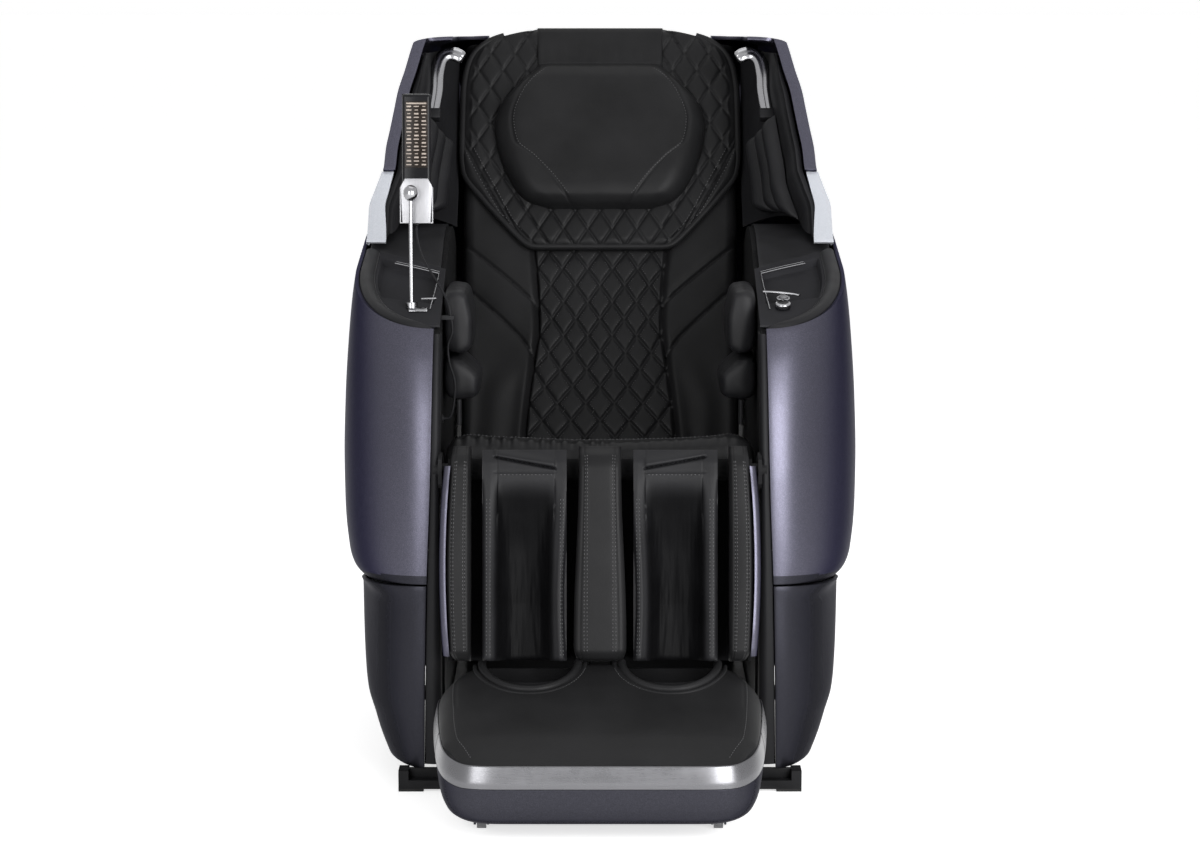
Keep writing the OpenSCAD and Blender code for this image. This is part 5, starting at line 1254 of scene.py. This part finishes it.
# Pillow tables: distance below its top against share of width, share of thickness and seam's half width
PILLOW_OUTLINE = [(0, 0.6), (70, 0.6), (76, 0.6), (92, 0.66), (122, 0.82), (158, 0.96), (192, 1), (235, 0.97),
                  (292, 0.86), (329, 0.72), (342, 0.58), (348, 0.44)]
PILLOW_HEIGHT = [(0, 0.02), (4, 0.1), (12, 0.15), (70, 0.17), (76, 0.38), (90, 0.7), (112, 0.9),
                 (177, 1), (282, 1), (310, 0.96), (329, 0.86), (342, 0.55), (348, 0.1)]
PANEL_LINE = [(74, 96), (100, 118), (140, 142), (190, 156), (232, 150), (262, 118), (300, 84), (344, 52)]


def pillow_point(a, b):
    d = PILLOW_H * (1 - 0.2 * (b / 0.2) ** 1.5 if b < 0.2 else 1 - b)
    t = 2 * a - 1
    x = t * PILLOW_HALF_W * curve(d, PILLOW_OUTLINE)
    flap = 0.1 + 0.9 * bulge((1 - abs(t)) / 0.07)
    side = mix(flap, 0.12 + 0.88 * bulge((1 - abs(t)) / 0.28), ease((d - 60) / 24))
    body = ease((d - 78) / 30) * side
    proud = PILLOW_T * curve(d, PILLOW_HEIGHT) * side - crease(d - FLAP_H, 2.5, 2.2)
    if d > FLAP_H:
        proud -= crease(abs(x) - curve(d, PANEL_LINE), 2.6, 2.4) * body
    proud += 2.2 * ripple(x, 40, d * 0.5, 60) * body
    proud += 1.1 * ripple(x * 1.6, 90, d * 0.35, 22) * ease(1 - abs(d - 60) / 60)
    return x, PILLOW_BACK_Y - proud, PILLOW_TOP - d


def make_pillow():
    pillow = stuffed("neck_pillow", (150, 150), pillow_point, lambda p: (p[0], PILLOW_BACK_Y, p[2]), BACK)
    dress(pillow, "back", leather, "head_pillow", fill=0.75)
    rows = [[(sign * (curve(d, PANEL_LINE) - 4), PILLOW_BACK_Y - PILLOW_T, PILLOW_TOP - d)
             for d in range(80, 340, 6)] for sign in (-1, 1)]
    stitched("pillow_stitches", pillow, rows, BACK, "back", pitch=5.5)


# ---------- wings, shell and grips ----------

CROWN_Y = 22
CROWN_DROP = 60
BACK_TOP_Z = BACK_LEN + 18
SHELL_HALF_W, LOW_HALF_W = 199.7, 242
WING_REAR_X = SHELL_HALF_W + 0.3
WING_TOP_X = 252
WING_TOP_FRONT = Vector((-297, 693))
WING_LOW_FRONT = Vector((-WING_FRONT + 11, ACCENT_Z + 0.8))
WING_WIDTH = [(300, 389), (315, 387), (333, 386), (369, 385), (405, 375), (437, 365), (441, 364), (478, 361),
              (514, 355), (551, 349), (588, 343), (625, 333), (681, 319), (700, 312), (760, 302), (860, 290)]
WING_PADDING = [(560, 1), (600, 0.94), (650, 0.67), (700, 0.39), (760, 0.28)]
RIM_SHARE = 0.1
ROLL_SHARE = 0.22


def wing_x(z):
    return curve(z, WING_WIDTH)


def on_sweep(y):
    return Vector((y, math.sqrt(SWEEP_R ** 2 - y * y)))


def crown_turn(turn):
    """Point on the rounded upper rear edge, from the crown at 0 down to the back at a quarter turn."""
    return Vector((mix(CROWN_Y, SHELL_Y, math.sin(turn)), BACK_TOP_Z - CROWN_DROP * (1 - math.cos(turn))))


def wing_front_edge(v):
    return WING_LOW_FRONT.lerp(WING_TOP_FRONT, v)


def wing_top_edge(u):
    if u < 0.7:
        return WING_TOP_FRONT.lerp(Vector((CROWN_Y, BACK_TOP_Z)), u / 0.7)
    return crown_turn(math.pi / 2 * (u - 0.7) / 0.3)


def wing_rear_edge(v):
    return on_sweep(SHELL_Y).lerp(Vector((SHELL_Y, BACK_TOP_Z - CROWN_DROP)), v)


def wing_bottom_edge(u):
    if u < 0.45:
        return WING_LOW_FRONT.lerp(on_sweep(-90), u / 0.45)
    return on_sweep(mix(-90, SHELL_Y, (u - 0.45) / 0.55))


def rim_in(a, wide):
    """How far the rolled front rim has turned in, from its inner edge at a = 0."""
    return wide * (1 - bulge(a / RIM_SHARE)) if a < RIM_SHARE else 0


def wing_point(a, b):
    u = max(0, (a - RIM_SHARE) / (1 - RIM_SHARE))
    v = b * 0.95 / 0.8 if b < 0.8 else mix(0.95, 1, math.sin(math.pi / 2 * (b - 0.8) / 0.2))
    y, z = patch(wing_front_edge, wing_rear_edge, wing_bottom_edge, wing_top_edge, u, v)
    s = clamp((y - CROWN_Y) / (SHELL_Y - CROWN_Y))
    side = mix(WING_REAR_X, wing_x(z), math.sqrt(max(0, 1 - s * s)))
    x = side
    if v >= 0.95:
        lid = mix(WING_TOP_X, WING_REAR_X, ease((u - 0.4) / 0.15))
        x = mix(min(lid, side), side, bulge((1 - v) / 0.05))
    x = min(x, side - rim_in(a, 20))
    return max(WING_REAR_X, x), y - 5 * (1 - ease(a / RIM_SHARE - 1)), z


def accent_point(a, b):
    """Silver plate below the wing's front: a from the rolled rim back, b up."""
    u = max(0, (a - RIM_SHARE * 2) / (1 - RIM_SHARE * 2))
    y = mix(-WING_FRONT + 11 * b, -140, u)
    z = mix(on_sweep(y)[1] + 1, ACCENT_Z, b)
    return wing_x(z) + 2 * (1 - u) - rim_in(a / 2, mix(33, 20, b)), y + 1.5 * (1 - a), z


def wing_pad_at(z):
    return WING_PAD * curve(z, WING_PADDING)


def wing_out_x(z):
    return wing_x(z) - SHELL_WALL - 3.5


def wing_in_x(y, z):
    share = clamp((y + WING_FRONT - 42) / (WING_FRONT - 42 - CUSHION_Y))
    return mix(wing_out_x(z) - wing_pad_at(z), BACK_HALF_W + 10, share ** 2.5)


def wing_liner_point(a, b):
    """Padded inside of a wing: round its front roll, then back along the padding."""
    u = 0 if a < ROLL_SHARE else 0.04 + 0.96 * ((a - ROLL_SHARE) / (1 - ROLL_SHARE)) ** 1.3
    y = mix(mix(-WING_FRONT + 8, -291, b), -CUSHION_Y, u)
    high = mix(685, BACK_TOP_Z, (y + 297) / (297 + CROWN_Y)) - SHELL_WALL - 16
    z = mix(on_sweep(y)[1] + 2, high, b)
    if a < ROLL_SHARE:
        share = a / ROLL_SHARE
        x = wing_out_x(z) - 13 - max(3, wing_pad_at(z) * 0.62 - 13) * share
        return x, y - 4 * math.sin(math.pi / 2 * share), z
    x = wing_in_x(y, z)
    if u < 0.16:
        risen = bulge((u - 0.04) / 0.12)
        x = wing_out_x(z) - wing_pad_at(z) * (0.62 + 0.38 * risen)
        y -= 3 * (1 - risen)
    return x - 1.2 * ripple(x, y, z, 60), y, z


def shell_point(a, b):
    """Rear shell: a across, b from the bottom up the back and over the crown."""
    x = mix(-SHELL_HALF_W, SHELL_HALF_W, a)
    if b < 0.62:
        y, z = SHELL_Y, mix(8, BACK_TOP_Z - CROWN_DROP, b / 0.62)
    elif b < 0.86:
        y, z = crown_turn(math.pi / 2 * (0.86 - b) / 0.24)
    else:
        share = (b - 0.86) / 0.14
        y, z = mix(CROWN_Y, -40, share), mix(BACK_TOP_Z, BACK_LEN + 2, share)
    if 100 < z < 640:
        for rib in (-120, 0, 120):
            y -= crease(x - rib, 2.5, 1.6) * ease((z - 100) / 30) * ease((640 - z) / 30)
    return x, y, z - 36 * ease((abs(x) - 105) / 95) * ease((b - 0.62) / 0.2)


def make_wings():
    shell = hard_cover("wing_cover_right", (84, 60), wing_point, SHELL_WALL, bevel=(1.5, 2, 60), where=BACK)
    both_sides(shell, "back", side_paint, "wing_shell_right")
    accent = hard_cover("wing_accent_right", (36, 16), accent_point, SHELL_WALL, bevel=(1.5, 3), where=BACK)
    both_sides(accent, "back", accent_paint, "wing_accents")
    liner = hard_cover("wing_padding_right", (80, 70), wing_liner_point, 3, offset=1, angle=60, where=BACK)
    both_sides(liner, "back", board_leather, "wing_liner_right", fill=0.8, slot="liner_leather")
    back = hard_cover("rear_cover_shell", (80, 80), shell_point, SHELL_WALL, offset=1, where=BACK)
    plates = []
    for side in (-1, 1):
        near, far = sorted((side * (SHELL_HALF_W - 1), side * LOW_HALF_W))
        plates.append(block("low_plate", (near, SHELL_Y - SHELL_WALL, 8),
                            (far, SHELL_Y, on_sweep(SHELL_Y)[1] - 4), 2, BACK))
        near, far = sorted((side * (LOW_HALF_W - SHELL_WALL), side * LOW_HALF_W))
        plates.append(block("cheek", (near, 60, 40), (far, SHELL_Y, 380), 2, BACK))
    dress(joined("rear_cover_shell", back, *plates), "back", black_plastic, "back_shell")


GRIP_Z = BACK_LEN - 133
GRIP_LINE = spline([(236, -222, GRIP_Z - 6), (252, -223, GRIP_Z + 2), (267, -224, GRIP_Z),
                    (277, -225, GRIP_Z - 14), (282, -225, GRIP_Z - 39), (283, -225, GRIP_Z - 69),
                    (288, -225, GRIP_Z - 106)])


def grip_point(u, v):
    """Point round the grip's oval section, with a groove down its front: u round it, v along it."""
    last = len(GRIP_LINE) - 1
    turn = 2 * math.pi * u
    k = round(v * last)
    along = (GRIP_LINE[min(k + 1, last)] - GRIP_LINE[max(k - 1, 0)]).normalized()
    side = along.cross(Vector((0, -1, 0))).normalized()
    front = side.cross(along).normalized()
    groove = 1 - 0.16 * math.exp(-((turn - math.pi / 2) / 0.2) ** 2)
    size = mix(0.45, 1, bulge(k / 5)) * (0.93 + 0.07 * bulge((last - k) / 3))
    return GRIP_LINE[k] + (side * 12.5 * math.cos(turn) + front * 7.5 * math.sin(turn) * groove) * size


def make_grip():
    """Shoulder grips, each with its mount on the wing."""
    grip = shaped_grid("shoulder_grip_right", (40, len(GRIP_LINE) - 1), grip_point)
    in_edit_mode(grip, weld(1e-5), bpy.ops.mesh.region_to_loop, bpy.ops.mesh.edge_face_add)
    face_outwards(grip)
    smooth(grip, 50)
    both_sides(stand(grip, BACK), "back", chrome, "shoulder_grips")
    x, y, z = GRIP_LINE[-1]
    mount = block("grip_mount_right", (x - 14, y - 9, z - 16), (x + 12, y + 12, z + 3), 3, BACK)
    both_sides(mount, "back", black_plastic)


def make_shoulder_bags():
    """Three upright pleats a side on the wings' padding."""
    for k in range(3):
        y0 = -256 + 44 * k
        top = GRIP_Z - 128 + 4 * k
        depth = 22 + 5 * k

        def bag_point(a, b):
            y = mix(y0, y0 + 38, a)
            z = mix(on_sweep(y)[1] + 8, top, b)
            round_off = bulge(min(a, 1 - a) * 2.2) * bulge(min(b, 1 - b) * 7)
            rib = 1.2 * ripple(y * 2, z * 0.5, k * 9, 30)
            return wing_in_x(y, z) - 5 - (depth + rib) * round_off, y, z

        bag = stuffed(f"shoulder_bag_{k + 1}_right", (22, 50), bag_point,
                      lambda p: (wing_in_x(p[1], p[2]) - 2, p[1], p[2]), BACK)
        both_sides(bag, "back", soft_leather, "shoulder_airbags", fill=0.5)


# ---------- calf rest ----------

CALF_FRONT = [(-300, -22), (-294, -8), (-280, 0), (-60, 2), (0, 0), (20, -8), (34, -24), (44, -30)]
# Distance along the calf rest for an even step, with more steps in its rounded ends
CALF_ROWS = ((0, -CALF_LEN + 1), (0.15, -CALF_LEN + 22), (0.75, -10), (1, 36))
PAD_BACK_Y = -19
LINING_DEPTH = [(52, 12), (53.5, 4), (57, -1.5), (61, -2.5), (66, 0.5), (72, 6), (80, 30), (92, 46),
                (114, 53), (136, 48), (152, 32), (161, 7), (166, 1), (172, -2.5), (177, -1.5), (181, 3),
                (183, 12)]
LINING_OPEN = [(-210, 1), (-130, 0.92), (-70, 0.66), (-40, 0.4), (-20, 0.14), (-8, 0)]
LINING_FRONT = [(-300, -4), (-292, 0), (-60, 0), (-20, 0), (8, -4), (30, -16)]
LINING_ROWS = ((0, -CALF_LEN + 2), (0.55, -56), (1, 30))


def calf_front(z):
    return TROUGH_DEPTH + 4 + curve(z, CALF_FRONT)


def barrel(z):
    """Side pads bow outwards a little at mid length."""
    return -7 * ((z + 150) / 150) ** 2


def calf_pad(name, x0, x1, crown, outer):
    """A pad between two distances across; an outer one bows, the middle one flares downwards."""
    def pad_point(a, b):
        z = ramp(b, CALF_ROWS)
        draw = 15 * (1 - bulge((z + CALF_LEN) / 24))
        flare = 8 * ease(-z / 260)
        low, high = (x0, x1 + barrel(z) - draw) if outer else (x0 - flare + draw, x1 + flare - draw)
        x = mix(low, high, a)
        edge = 1 - bulge(min(a, 1 - a) * 3.4)
        y = -calf_front(z) + crown * edge - 1.5 * math.sin(math.pi * a)
        y += 0.9 * ripple(x, y, z, 45) * (1 - edge)
        return x, y + crease(min(a, 1 - a) * (x1 - x0) - 8, 1.3, 1.2), z

    return stuffed(name, (44, 110), pad_point, lambda p: (p[0], PAD_BACK_Y, p[2]), CALF)


def lining_point(a, b):
    """A trough's lining, with a sewn slit and flap at its top: a across, b up."""
    x = mix(52, 183, a)
    z = ramp(b, LINING_ROWS)
    opened = curve(z, LINING_OPEN)
    sway = 4 * math.sin((z + 300) / 300 * math.pi * 1.6) * (1 - a)
    depth = curve(clamp((x - sway - 52) / 131) * 131 + 52, LINING_DEPTH)
    y = -(TROUGH_DEPTH + curve(z, LINING_FRONT))
    y += depth * mix(0.12, 1, opened) * (1 if depth < 10 else opened)
    y += (3.2 * ripple(x * 2.4, 5, z * 0.28, 34) + 0.9 * ripple(x * 5, 9, z * 0.5, 20)) \
        * ease((depth - 20) / 20) * opened
    slit = z - mix(0, 19, (x - 66) / 102)
    flap = crease(slit, 1.7, 9) + crease(z + 5, 1.5, 1.6) - crease(slit - 7, 7, 3.5)
    return x, y + flap * ease((x - 66) / 8) * ease((168 - x) / 8), z


# Painted shade: darkest across the trough's middle, from a little below its top slit downwards
def lining_painted_shade(x, z):
    return ease((x - 68) / 14) * ease((168 - x) / 10) * ease((-14 - z) / 34)


def edge_trim_point(a, b):
    """Lacquered edge of the calf rest: a from its rear edge round to the front, b up."""
    z = mix(-CALF_LEN + 10, 4, b)
    x_out = CALF_HALF_W + barrel(z) + 0.5
    reach = calf_front(z) - 6 + 6 * ease(min(b, 1 - b) * 6)
    turn = math.pi / 2 * max(0, a - 0.7) / 0.3
    y = mix(2, 8 - reach, min(1, a / 0.7)) - 9 * math.sin(turn)
    return x_out - 8 * (1 - math.cos(turn)), y, z


def make_calf_rest():
    sides = both_sides(calf_pad("calf_side_pad_right", 201, 240, 14, True), "calf", leather, "calf_pads",
                       fill=0.8)
    divider = calf_pad("calf_divider_pad", -33, 33, 12, False)
    dress(divider, "calf", leather, "calf_pads", fill=0.8)
    rows = [[(x, -calf_front(z) - 2, z) for z in range(-284, 30, 6)] for x in (-25, -20, 20, 25)]
    stitched("calf_divider_stitches", divider, rows, CALF, "calf", pitch=6)
    rows = [[(x + barrel(z) * (x - 201) / 39, -calf_front(z) - 2, z) for z in range(-284, 20, 6)]
            for x in (208, 213, 228, 233)]
    stitched_pair("calf_side_stitches", sides, rows, CALF, "calf", pitch=6)
    lining = stuffed("calf_trough_lining_right", (110, 140), lining_point,
                     lambda p: (p[0], 1.5 if p[2] < -23 else -17.5, p[2]), CALF)
    linings = both_sides(lining, "calf", trough_leather, "trough_linings", fill=0.5)
    # Each lining carries the painted shade that its material reads
    for cloth in linings:
        store_painted_shade(cloth, lining_painted_shade, CALF)
    rows = [[(x, -TROUGH_DEPTH - 1, z) for z in range(-290, -40, 6)] for x in (57, 61.5, 171, 176)]
    rows.append([(x, -TROUGH_DEPTH - 1, -9) for x in range(74, 164, 6)])
    stitched_pair("calf_lining_stitches", linings, rows, CALF, "calf", pitch=6)
    edge = hard_cover("calf_edge_trim_right", (30, 60), edge_trim_point, 2.2, angle=50, where=CALF)
    both_sides(edge, "calf", side_paint)


# ---------- foot box ----------

RIM_LINE = [(390, 176), (490, 166), (650, 140), (690, 131), (712, 127), (720, 127)]
SHELL_INSET = [(0, 36), (0.06, 26), (0.2, 14), (0.5, 5), (1, 0)]
FOOT_STEPS = 90
FOOT_WHEEL_X, FOOT_WHEEL_Y, FOOT_WHEEL_R = 181, 586, 16
ANKLE_X, ANKLE_Y, ANKLE_R = 109, 452, 70
COVER_FRONT, COVER_REAR = 713, 452
COVER_HALF = [(452, 236), (490, 250), (560, 247), (642, 238), (670, 224), (698, 209), (710, 189), (713, 183)]
COVER_RISE = [(0, 0.0), (0.02, 0.3), (0.06, 0.62), (0.14, 0.88), (0.26, 1), (0.9, 1), (0.96, 0.98), (1, 0.92)]
# Trim pieces: name, start and end of each as a share of the way round, with a fine gap at the corners
TRIM_GAP = 0.0012
TRIMS = (("foot_trim_left", 0.19, 0.285 - TRIM_GAP), ("foot_trim_front", 0.285 + TRIM_GAP, 0.715 - TRIM_GAP),
         ("foot_trim_right", 0.715 + TRIM_GAP, 0.81))
foot_lines = {}


def rim_z(y):
    return curve(-y, RIM_LINE)


def foot_outline(draw):
    """Points round the right half of the plan, from the front's middle to the rear's."""
    f, w, y = FOOT_FRONT_HALF_W, FOOT_HALF_W, -FOOT_FRONT
    return [Vector(p) for p in (
        (0, y + draw), (f - draw * 0.5, y + draw), (f + 18 - draw * 0.6, y + 6 + draw * 0.9),
        (f + 34 - draw * 0.75, y + 20 + draw * 0.75), (w - 20 - draw * 0.9, y + 44 + draw * 0.5),
        (w - 12 - draw, y + 78 + draw * 0.2), (w - 4 - draw, y + 160), (w - draw, y + 230),
        (w - 2 - draw, -FOOT_REAR - 40), (w - 10 - draw, -FOOT_REAR - 10), (w - 24 - draw, -FOOT_REAR),
        (0, -FOOT_REAR))]


def around_foot(share, draw):
    """Plan point at a share of the way round, from the rear's middle on the left round the front."""
    key = round(draw, 2)
    if key not in foot_lines:
        foot_lines[key] = rounded_line(foot_outline(draw), FOOT_STEPS, 10)
    turn = 2 * share - 1
    place = abs(turn) * FOOT_STEPS
    k = min(int(place), FOOT_STEPS - 1)
    x, y = foot_lines[key][k].lerp(foot_lines[key][k + 1], place - k)
    return math.copysign(x, turn) if abs(turn) > 1e-9 else 0, y


def foot_shell_point(a, b):
    x, y = around_foot(a, curve(b, SHELL_INSET))
    return x, y, mix(SHELL_LOW, rim_z(y) - TRIM_H - 0.5, b)


def trim_section(b):
    """How far the silver band is drawn in, and its height from the rim, round its section."""
    if b < 0.12:
        return mix(4, 0, b / 0.12), -TRIM_H
    if b < 0.8:
        share = (b - 0.12) / 0.68
        return mix(-0.8, 5.5, share ** 1.5), mix(-TRIM_H, 0, share)
    return mix(5.5, 12, (b - 0.8) / 0.2), -0.4


def cover_top(y):
    """Height of the cover's crown and the middle of its slope."""
    return mix(132, 224, (y + FOOT_FRONT - 8) / (FOOT_FRONT - 8 - COVER_REAR)) + 4


def cover_point(a, b):
    share = b ** 1.35
    y = mix(-COVER_FRONT, -COVER_REAR, share)
    t = spread_out(a, 1.4)
    wide = curve(-y, COVER_HALF)
    rise = bulge((1 - abs(t)) / 0.3) * curve(share, COVER_RISE)
    x = t * wide
    z = mix(rim_z(y) - 2, cover_top(y), rise) + 3 * (1 - t * t) * ease(share * 3) * rise
    z -= crease((1 - abs(t)) * wide - 26, 1.6, 1.2) * ease((share - 0.55) / 0.1)
    return x, y, z + 0.8 * ripple(x, y, 3, 80)


def cover_back(p):
    return p[0], p[1], mix(119, 160, (p[1] + COVER_FRONT) / (COVER_FRONT - COVER_REAR))


def ankle_line(lift, grow, x_end, steps=36):
    """Line round an ankle opening's front half, over the cover's slope, out to x_end."""
    points = []
    for k in range(steps + 1):
        turn = math.pi + math.pi * k / steps
        x = ANKLE_X + (ANKLE_R + grow) * math.cos(turn)
        y = -ANKLE_Y + (ANKLE_R + grow) * math.sin(turn)
        rise = bulge((1 - clamp(abs(x) / curve(-y, COVER_HALF))) / 0.3)
        if x < x_end:
            points.append((x, y, mix(rim_z(y) - 2, cover_top(y), rise) + lift))
    return points


def floor_forks():
    """Forks and axles of the two floor wheels."""
    pieces = []
    y, r = -FOOT_WHEEL_Y, FOOT_WHEEL_R
    for x in (-FOOT_WHEEL_X, FOOT_WHEEL_X):
        for side in (x - 10, x + 10):
            pieces.append(block("fork", (side - 2, y - r, r - 7), (side + 2, y + r, SHELL_LOW + 2), 0.8))
        low, high = (x - 12, y - r, SHELL_LOW - 2.5), (x + 12, y + r, SHELL_LOW + 2)
        pieces.append(block("fork_top", low, high, 0.8))
        pieces.append(tube("axle", [(x + s, y, r) for s in (-12, 0, 12)], 3.9))
    return pieces


def make_foot_shell():
    shell = shaped_grid("foot_box_shell", (180, 26), foot_shell_point)
    in_edit_mode(shell, weld(1e-5), lambda: bpy.ops.mesh.select_all(action="DESELECT"))
    for edge in shell.data.edges:
        edge.select = all(shell.data.vertices[v].co.z < (SHELL_LOW + 0.05) * MM for v in edge.vertices)
    bpy.ops.object.mode_set(mode="EDIT")
    bpy.ops.mesh.select_mode(type="EDGE")
    bpy.ops.mesh.edge_face_add()
    bpy.ops.mesh.select_mode(type="VERT")
    bpy.ops.object.mode_set(mode="OBJECT")
    in_edit_mode(shell, turn_outwards)
    thicken(shell, 4)
    round_edges(shell, 1.0, 2, 70)
    smooth(shell, 35)
    dress(joined("foot_box_shell", shell, *floor_forks()), "foot", foot_paint, "foot_shell")


def make_trim(name, start, end):
    def trim_point(a, b):
        share = mix(start, end, a)
        draw, high = trim_section(b)
        x, y = around_foot(share, 0)
        z = rim_z(y) + high + 0.3
        if draw > 0:
            x, y = around_foot(share, max(draw, 0.01))
        return x, y, z

    band = hard_cover(name, (90, 22), trim_point, 1.6, offset=0, angle=30)
    dress(band, "foot", trim_silver, "foot_trim")


def make_foot_cover():
    cover = shaped_grid("foot_cover", (120, 110), cover_point)
    close_back(cover, cover_back)
    for side in (-1, 1):
        cutter = primitive("cylinder", "ankle_cutter", vertices=96, radius=ANKLE_R * MM, depth=0.3,
                           location=(side * ANKLE_X * MM, -ANKLE_Y * MM, 0.2))
        finish_modifier(cover, "BOOLEAN", operation="DIFFERENCE", object=cutter, solver="EXACT")
        bpy.data.objects.remove(cutter)
    face_outwards(cover)
    smooth(cover, 40)
    dress(cover, "foot", leather, "foot_cover_pad", fill=0.9)
    for word, grow, lift, radius in (("welt", 5, 2, 6.5), ("outer_welt", 16, 0.4, 3.4)):
        both_sides(tube(f"ankle_{word}_right", ankle_line(lift, grow, 232), radius), "foot", leather)
    rows = []
    for sign in (-1, 1):
        rows.append([(sign * x, y, z + 2) for x, y, z in ankle_line(1, 18, 228)])
        rows.append([cover_point(0.5 + sign * 0.41, k / 40) for k in range(6, 39)])
    stitched("foot_cover_stitches", cover, rows, UPRIGHT, "foot", pitch=6)


# ---------- remote and its stand ----------

STAND_BASE_Z = arm_line(-STAND_Y) - 2
PIN_Z = STAND_BASE_Z + ROD_LEN
HOLDER = moved(-STAND_X, -STAND_Y, PIN_Z) @ leaning(HOLDER_LEAN)
HOLDER_DX, HOLDER_Y, HOLDER_BELOW, HOLDER_TOP = 8, 20, 48, 24
REMOTE_Y = HOLDER_Y + 2.3
REMOTE_Z = -HOLDER_BELOW + 3.3
REMOTE_HALF = REMOTE_W / 2
MARK_ROWS, MARK_COLS = 17, 3


def holder_block(name, across, deep, high, edge, segments=3):
    """A block in the holder's frame, from its two ends across, in depth and in height."""
    low, top = zip((HOLDER_DX + across[0], HOLDER_DX + across[1]), deep, high)
    return block(name, low, top, edge, HOLDER, segments)


def display_marks(low, high):
    """Rows of plain bars, as a display shows them."""
    front = REMOTE_Y - 0.6
    for r in range(MARK_ROWS):
        z = mix(low + 5, high - 8, r / (MARK_ROWS - 1))
        for c in range(MARK_COLS):
            x = mix(-REMOTE_HALF + 11, REMOTE_HALF - 11, c / (MARK_COLS - 1))
            wide = (4.2, 2.6, 3.6)[(r * 2 + c) % 3]
            tall = (0.9, 1.3, 0.7)[(r + c * 2) % 3]
            yield holder_block("mark", (x - wide, x + wide), (front - 0.4, front),
                               (z - tall, z + tall), 0.2, 1)
    yield holder_block("mark", (7 - REMOTE_HALF, REMOTE_HALF - 7), (front - 0.5, front),
                       (high - 4.5, high - 2), 0.3, 1)


def make_remote():
    half, top = REMOTE_HALF, REMOTE_Z + REMOTE_LEN
    body = holder_block("handset_body", (-half, half), (REMOTE_Y, REMOTE_Y + REMOTE_T),
                        (REMOTE_Z, top), 5.5, 5)
    dress(body, "remote_holder", piano_black, "remote_body")
    low, high = REMOTE_Z + REMOTE_LEN * 0.42, REMOTE_Z + REMOTE_LEN * 0.94
    glass = holder_block("handset_display", (4.5 - half, half - 4.5), (REMOTE_Y - 0.7, REMOTE_Y + 0.6),
                         (low, high), 0.6)
    dress(glass, "remote_holder", display_glass, "remote_screen")
    dress(joined("display_marks", *display_marks(low, high)), "remote_holder", print_ink)
    seam = holder_block("handset_seam", (-half - 0.3, half + 0.3), (REMOTE_Y + 8, REMOTE_Y + 9),
                        (REMOTE_Z + 4, top + 0.2), 0.3)
    dress(seam, "remote_holder", black_plastic, slot="gloss_black")
    lead = [(HOLDER_DX, REMOTE_Y + REMOTE_T / 2, REMOTE_Z - 6 + k) for k in range(8)]
    relief = tube("handset_strain_relief", lead, 3.5, HOLDER)
    dress(relief, "remote_holder", rubber, slot="black_plastic")


def make_holder_cup():
    """Cup of the holder: a shield-shaped front with cut corners, side walls and a floor."""
    half = REMOTE_HALF + 2.6
    corners = [(3 - half, -HOLDER_BELOW), (half - 3, -HOLDER_BELOW), (half, HOLDER_TOP - 13),
               (half - 7, HOLDER_TOP), (7 - half, HOLDER_TOP), (-half, HOLDER_TOP - 13)]
    face = primitive("circle", "holder_face", vertices=len(corners), radius=1, fill_type="NGON")
    for vertex, (x, z) in zip(face.data.vertices, corners):
        vertex.co = Vector((HOLDER_DX + x, HOLDER_Y + 2, z)) * MM
    in_edit_mode(face, lambda: bpy.ops.mesh.extrude_region_move(
        TRANSFORM_OT_translate={"value": (0, -3 * MM, 0)}))
    face_outwards(face)
    round_edges(face, 0.9, 3, 40)
    smooth(face)
    stand(face, HOLDER)
    front, back, low = HOLDER_Y + 1, HOLDER_Y + 4.6 + REMOTE_T, -HOLDER_BELOW
    walls = [holder_block("wall", (s * half - 1, s * half + 1), (front, back), (low, HOLDER_TOP - 14), 0.6)
             for s in (-1, 1)]
    walls.append(holder_block("wall_back", (-half, half), (back - 2, back), (low, 4), 0.6))
    walls += [holder_block("floor", across, (front, back), (low, low + 2), 0.5)
              for across in ((-half, -6), (6, half))]
    dress(joined("handset_holder", face, *walls), "remote_holder", holder_silver, "remote_holder")


def make_stand():
    ball = primitive("uv_sphere", "tilt_knuckle", segments=40, ring_count=24, radius=13 * MM)
    for vertex in ball.data.vertices:
        vertex.co.x *= 0.92
    smooth(ball, 60)
    dress(stand(ball, HOLDER), "remote_holder", chrome)
    neck = tube("knuckle_neck", [(0, 4, 0), (2, 12, -1), (HOLDER_DX / 2, HOLDER_Y + 1, -2)], 8, HOLDER)
    dress(neck, "remote_holder", chrome)
    x, y, z = -STAND_X, -STAND_Y, STAND_BASE_Z
    pole = tube("stand_pole", [(x, y, z + 4.3 + k) for k in (0, 60, 120, ROD_LEN - 14)], 3.2)
    dress(pole, "remote_stand", chrome, "stand_rod")
    dress(tube("pole_collar", [(x, y, z - 1), (x, y, z + 9)], 9.5), "chassis", chrome, "stand_socket")
    dress(block("pole_base_leaf", (-4, -20, 0.4), (26, -6, 3.2), 1.2, on_arm(x, y)), "chassis", chrome)


# ---------- the chair ----------

make_camera()
make_cord()
make_studio()
finish_nodes()
make_pods()
make_arms()
make_console_details()
make_base_skirts()
make_arm_bags()
make_seat()
make_back_cushion()
make_head_pad()
make_pillow()
make_wings()
make_grip()
make_shoulder_bags()
make_calf_rest()
make_foot_shell()
for trim in TRIMS:
    make_trim(*trim)
make_foot_cover()
make_remote()
make_holder_cup()
make_stand()
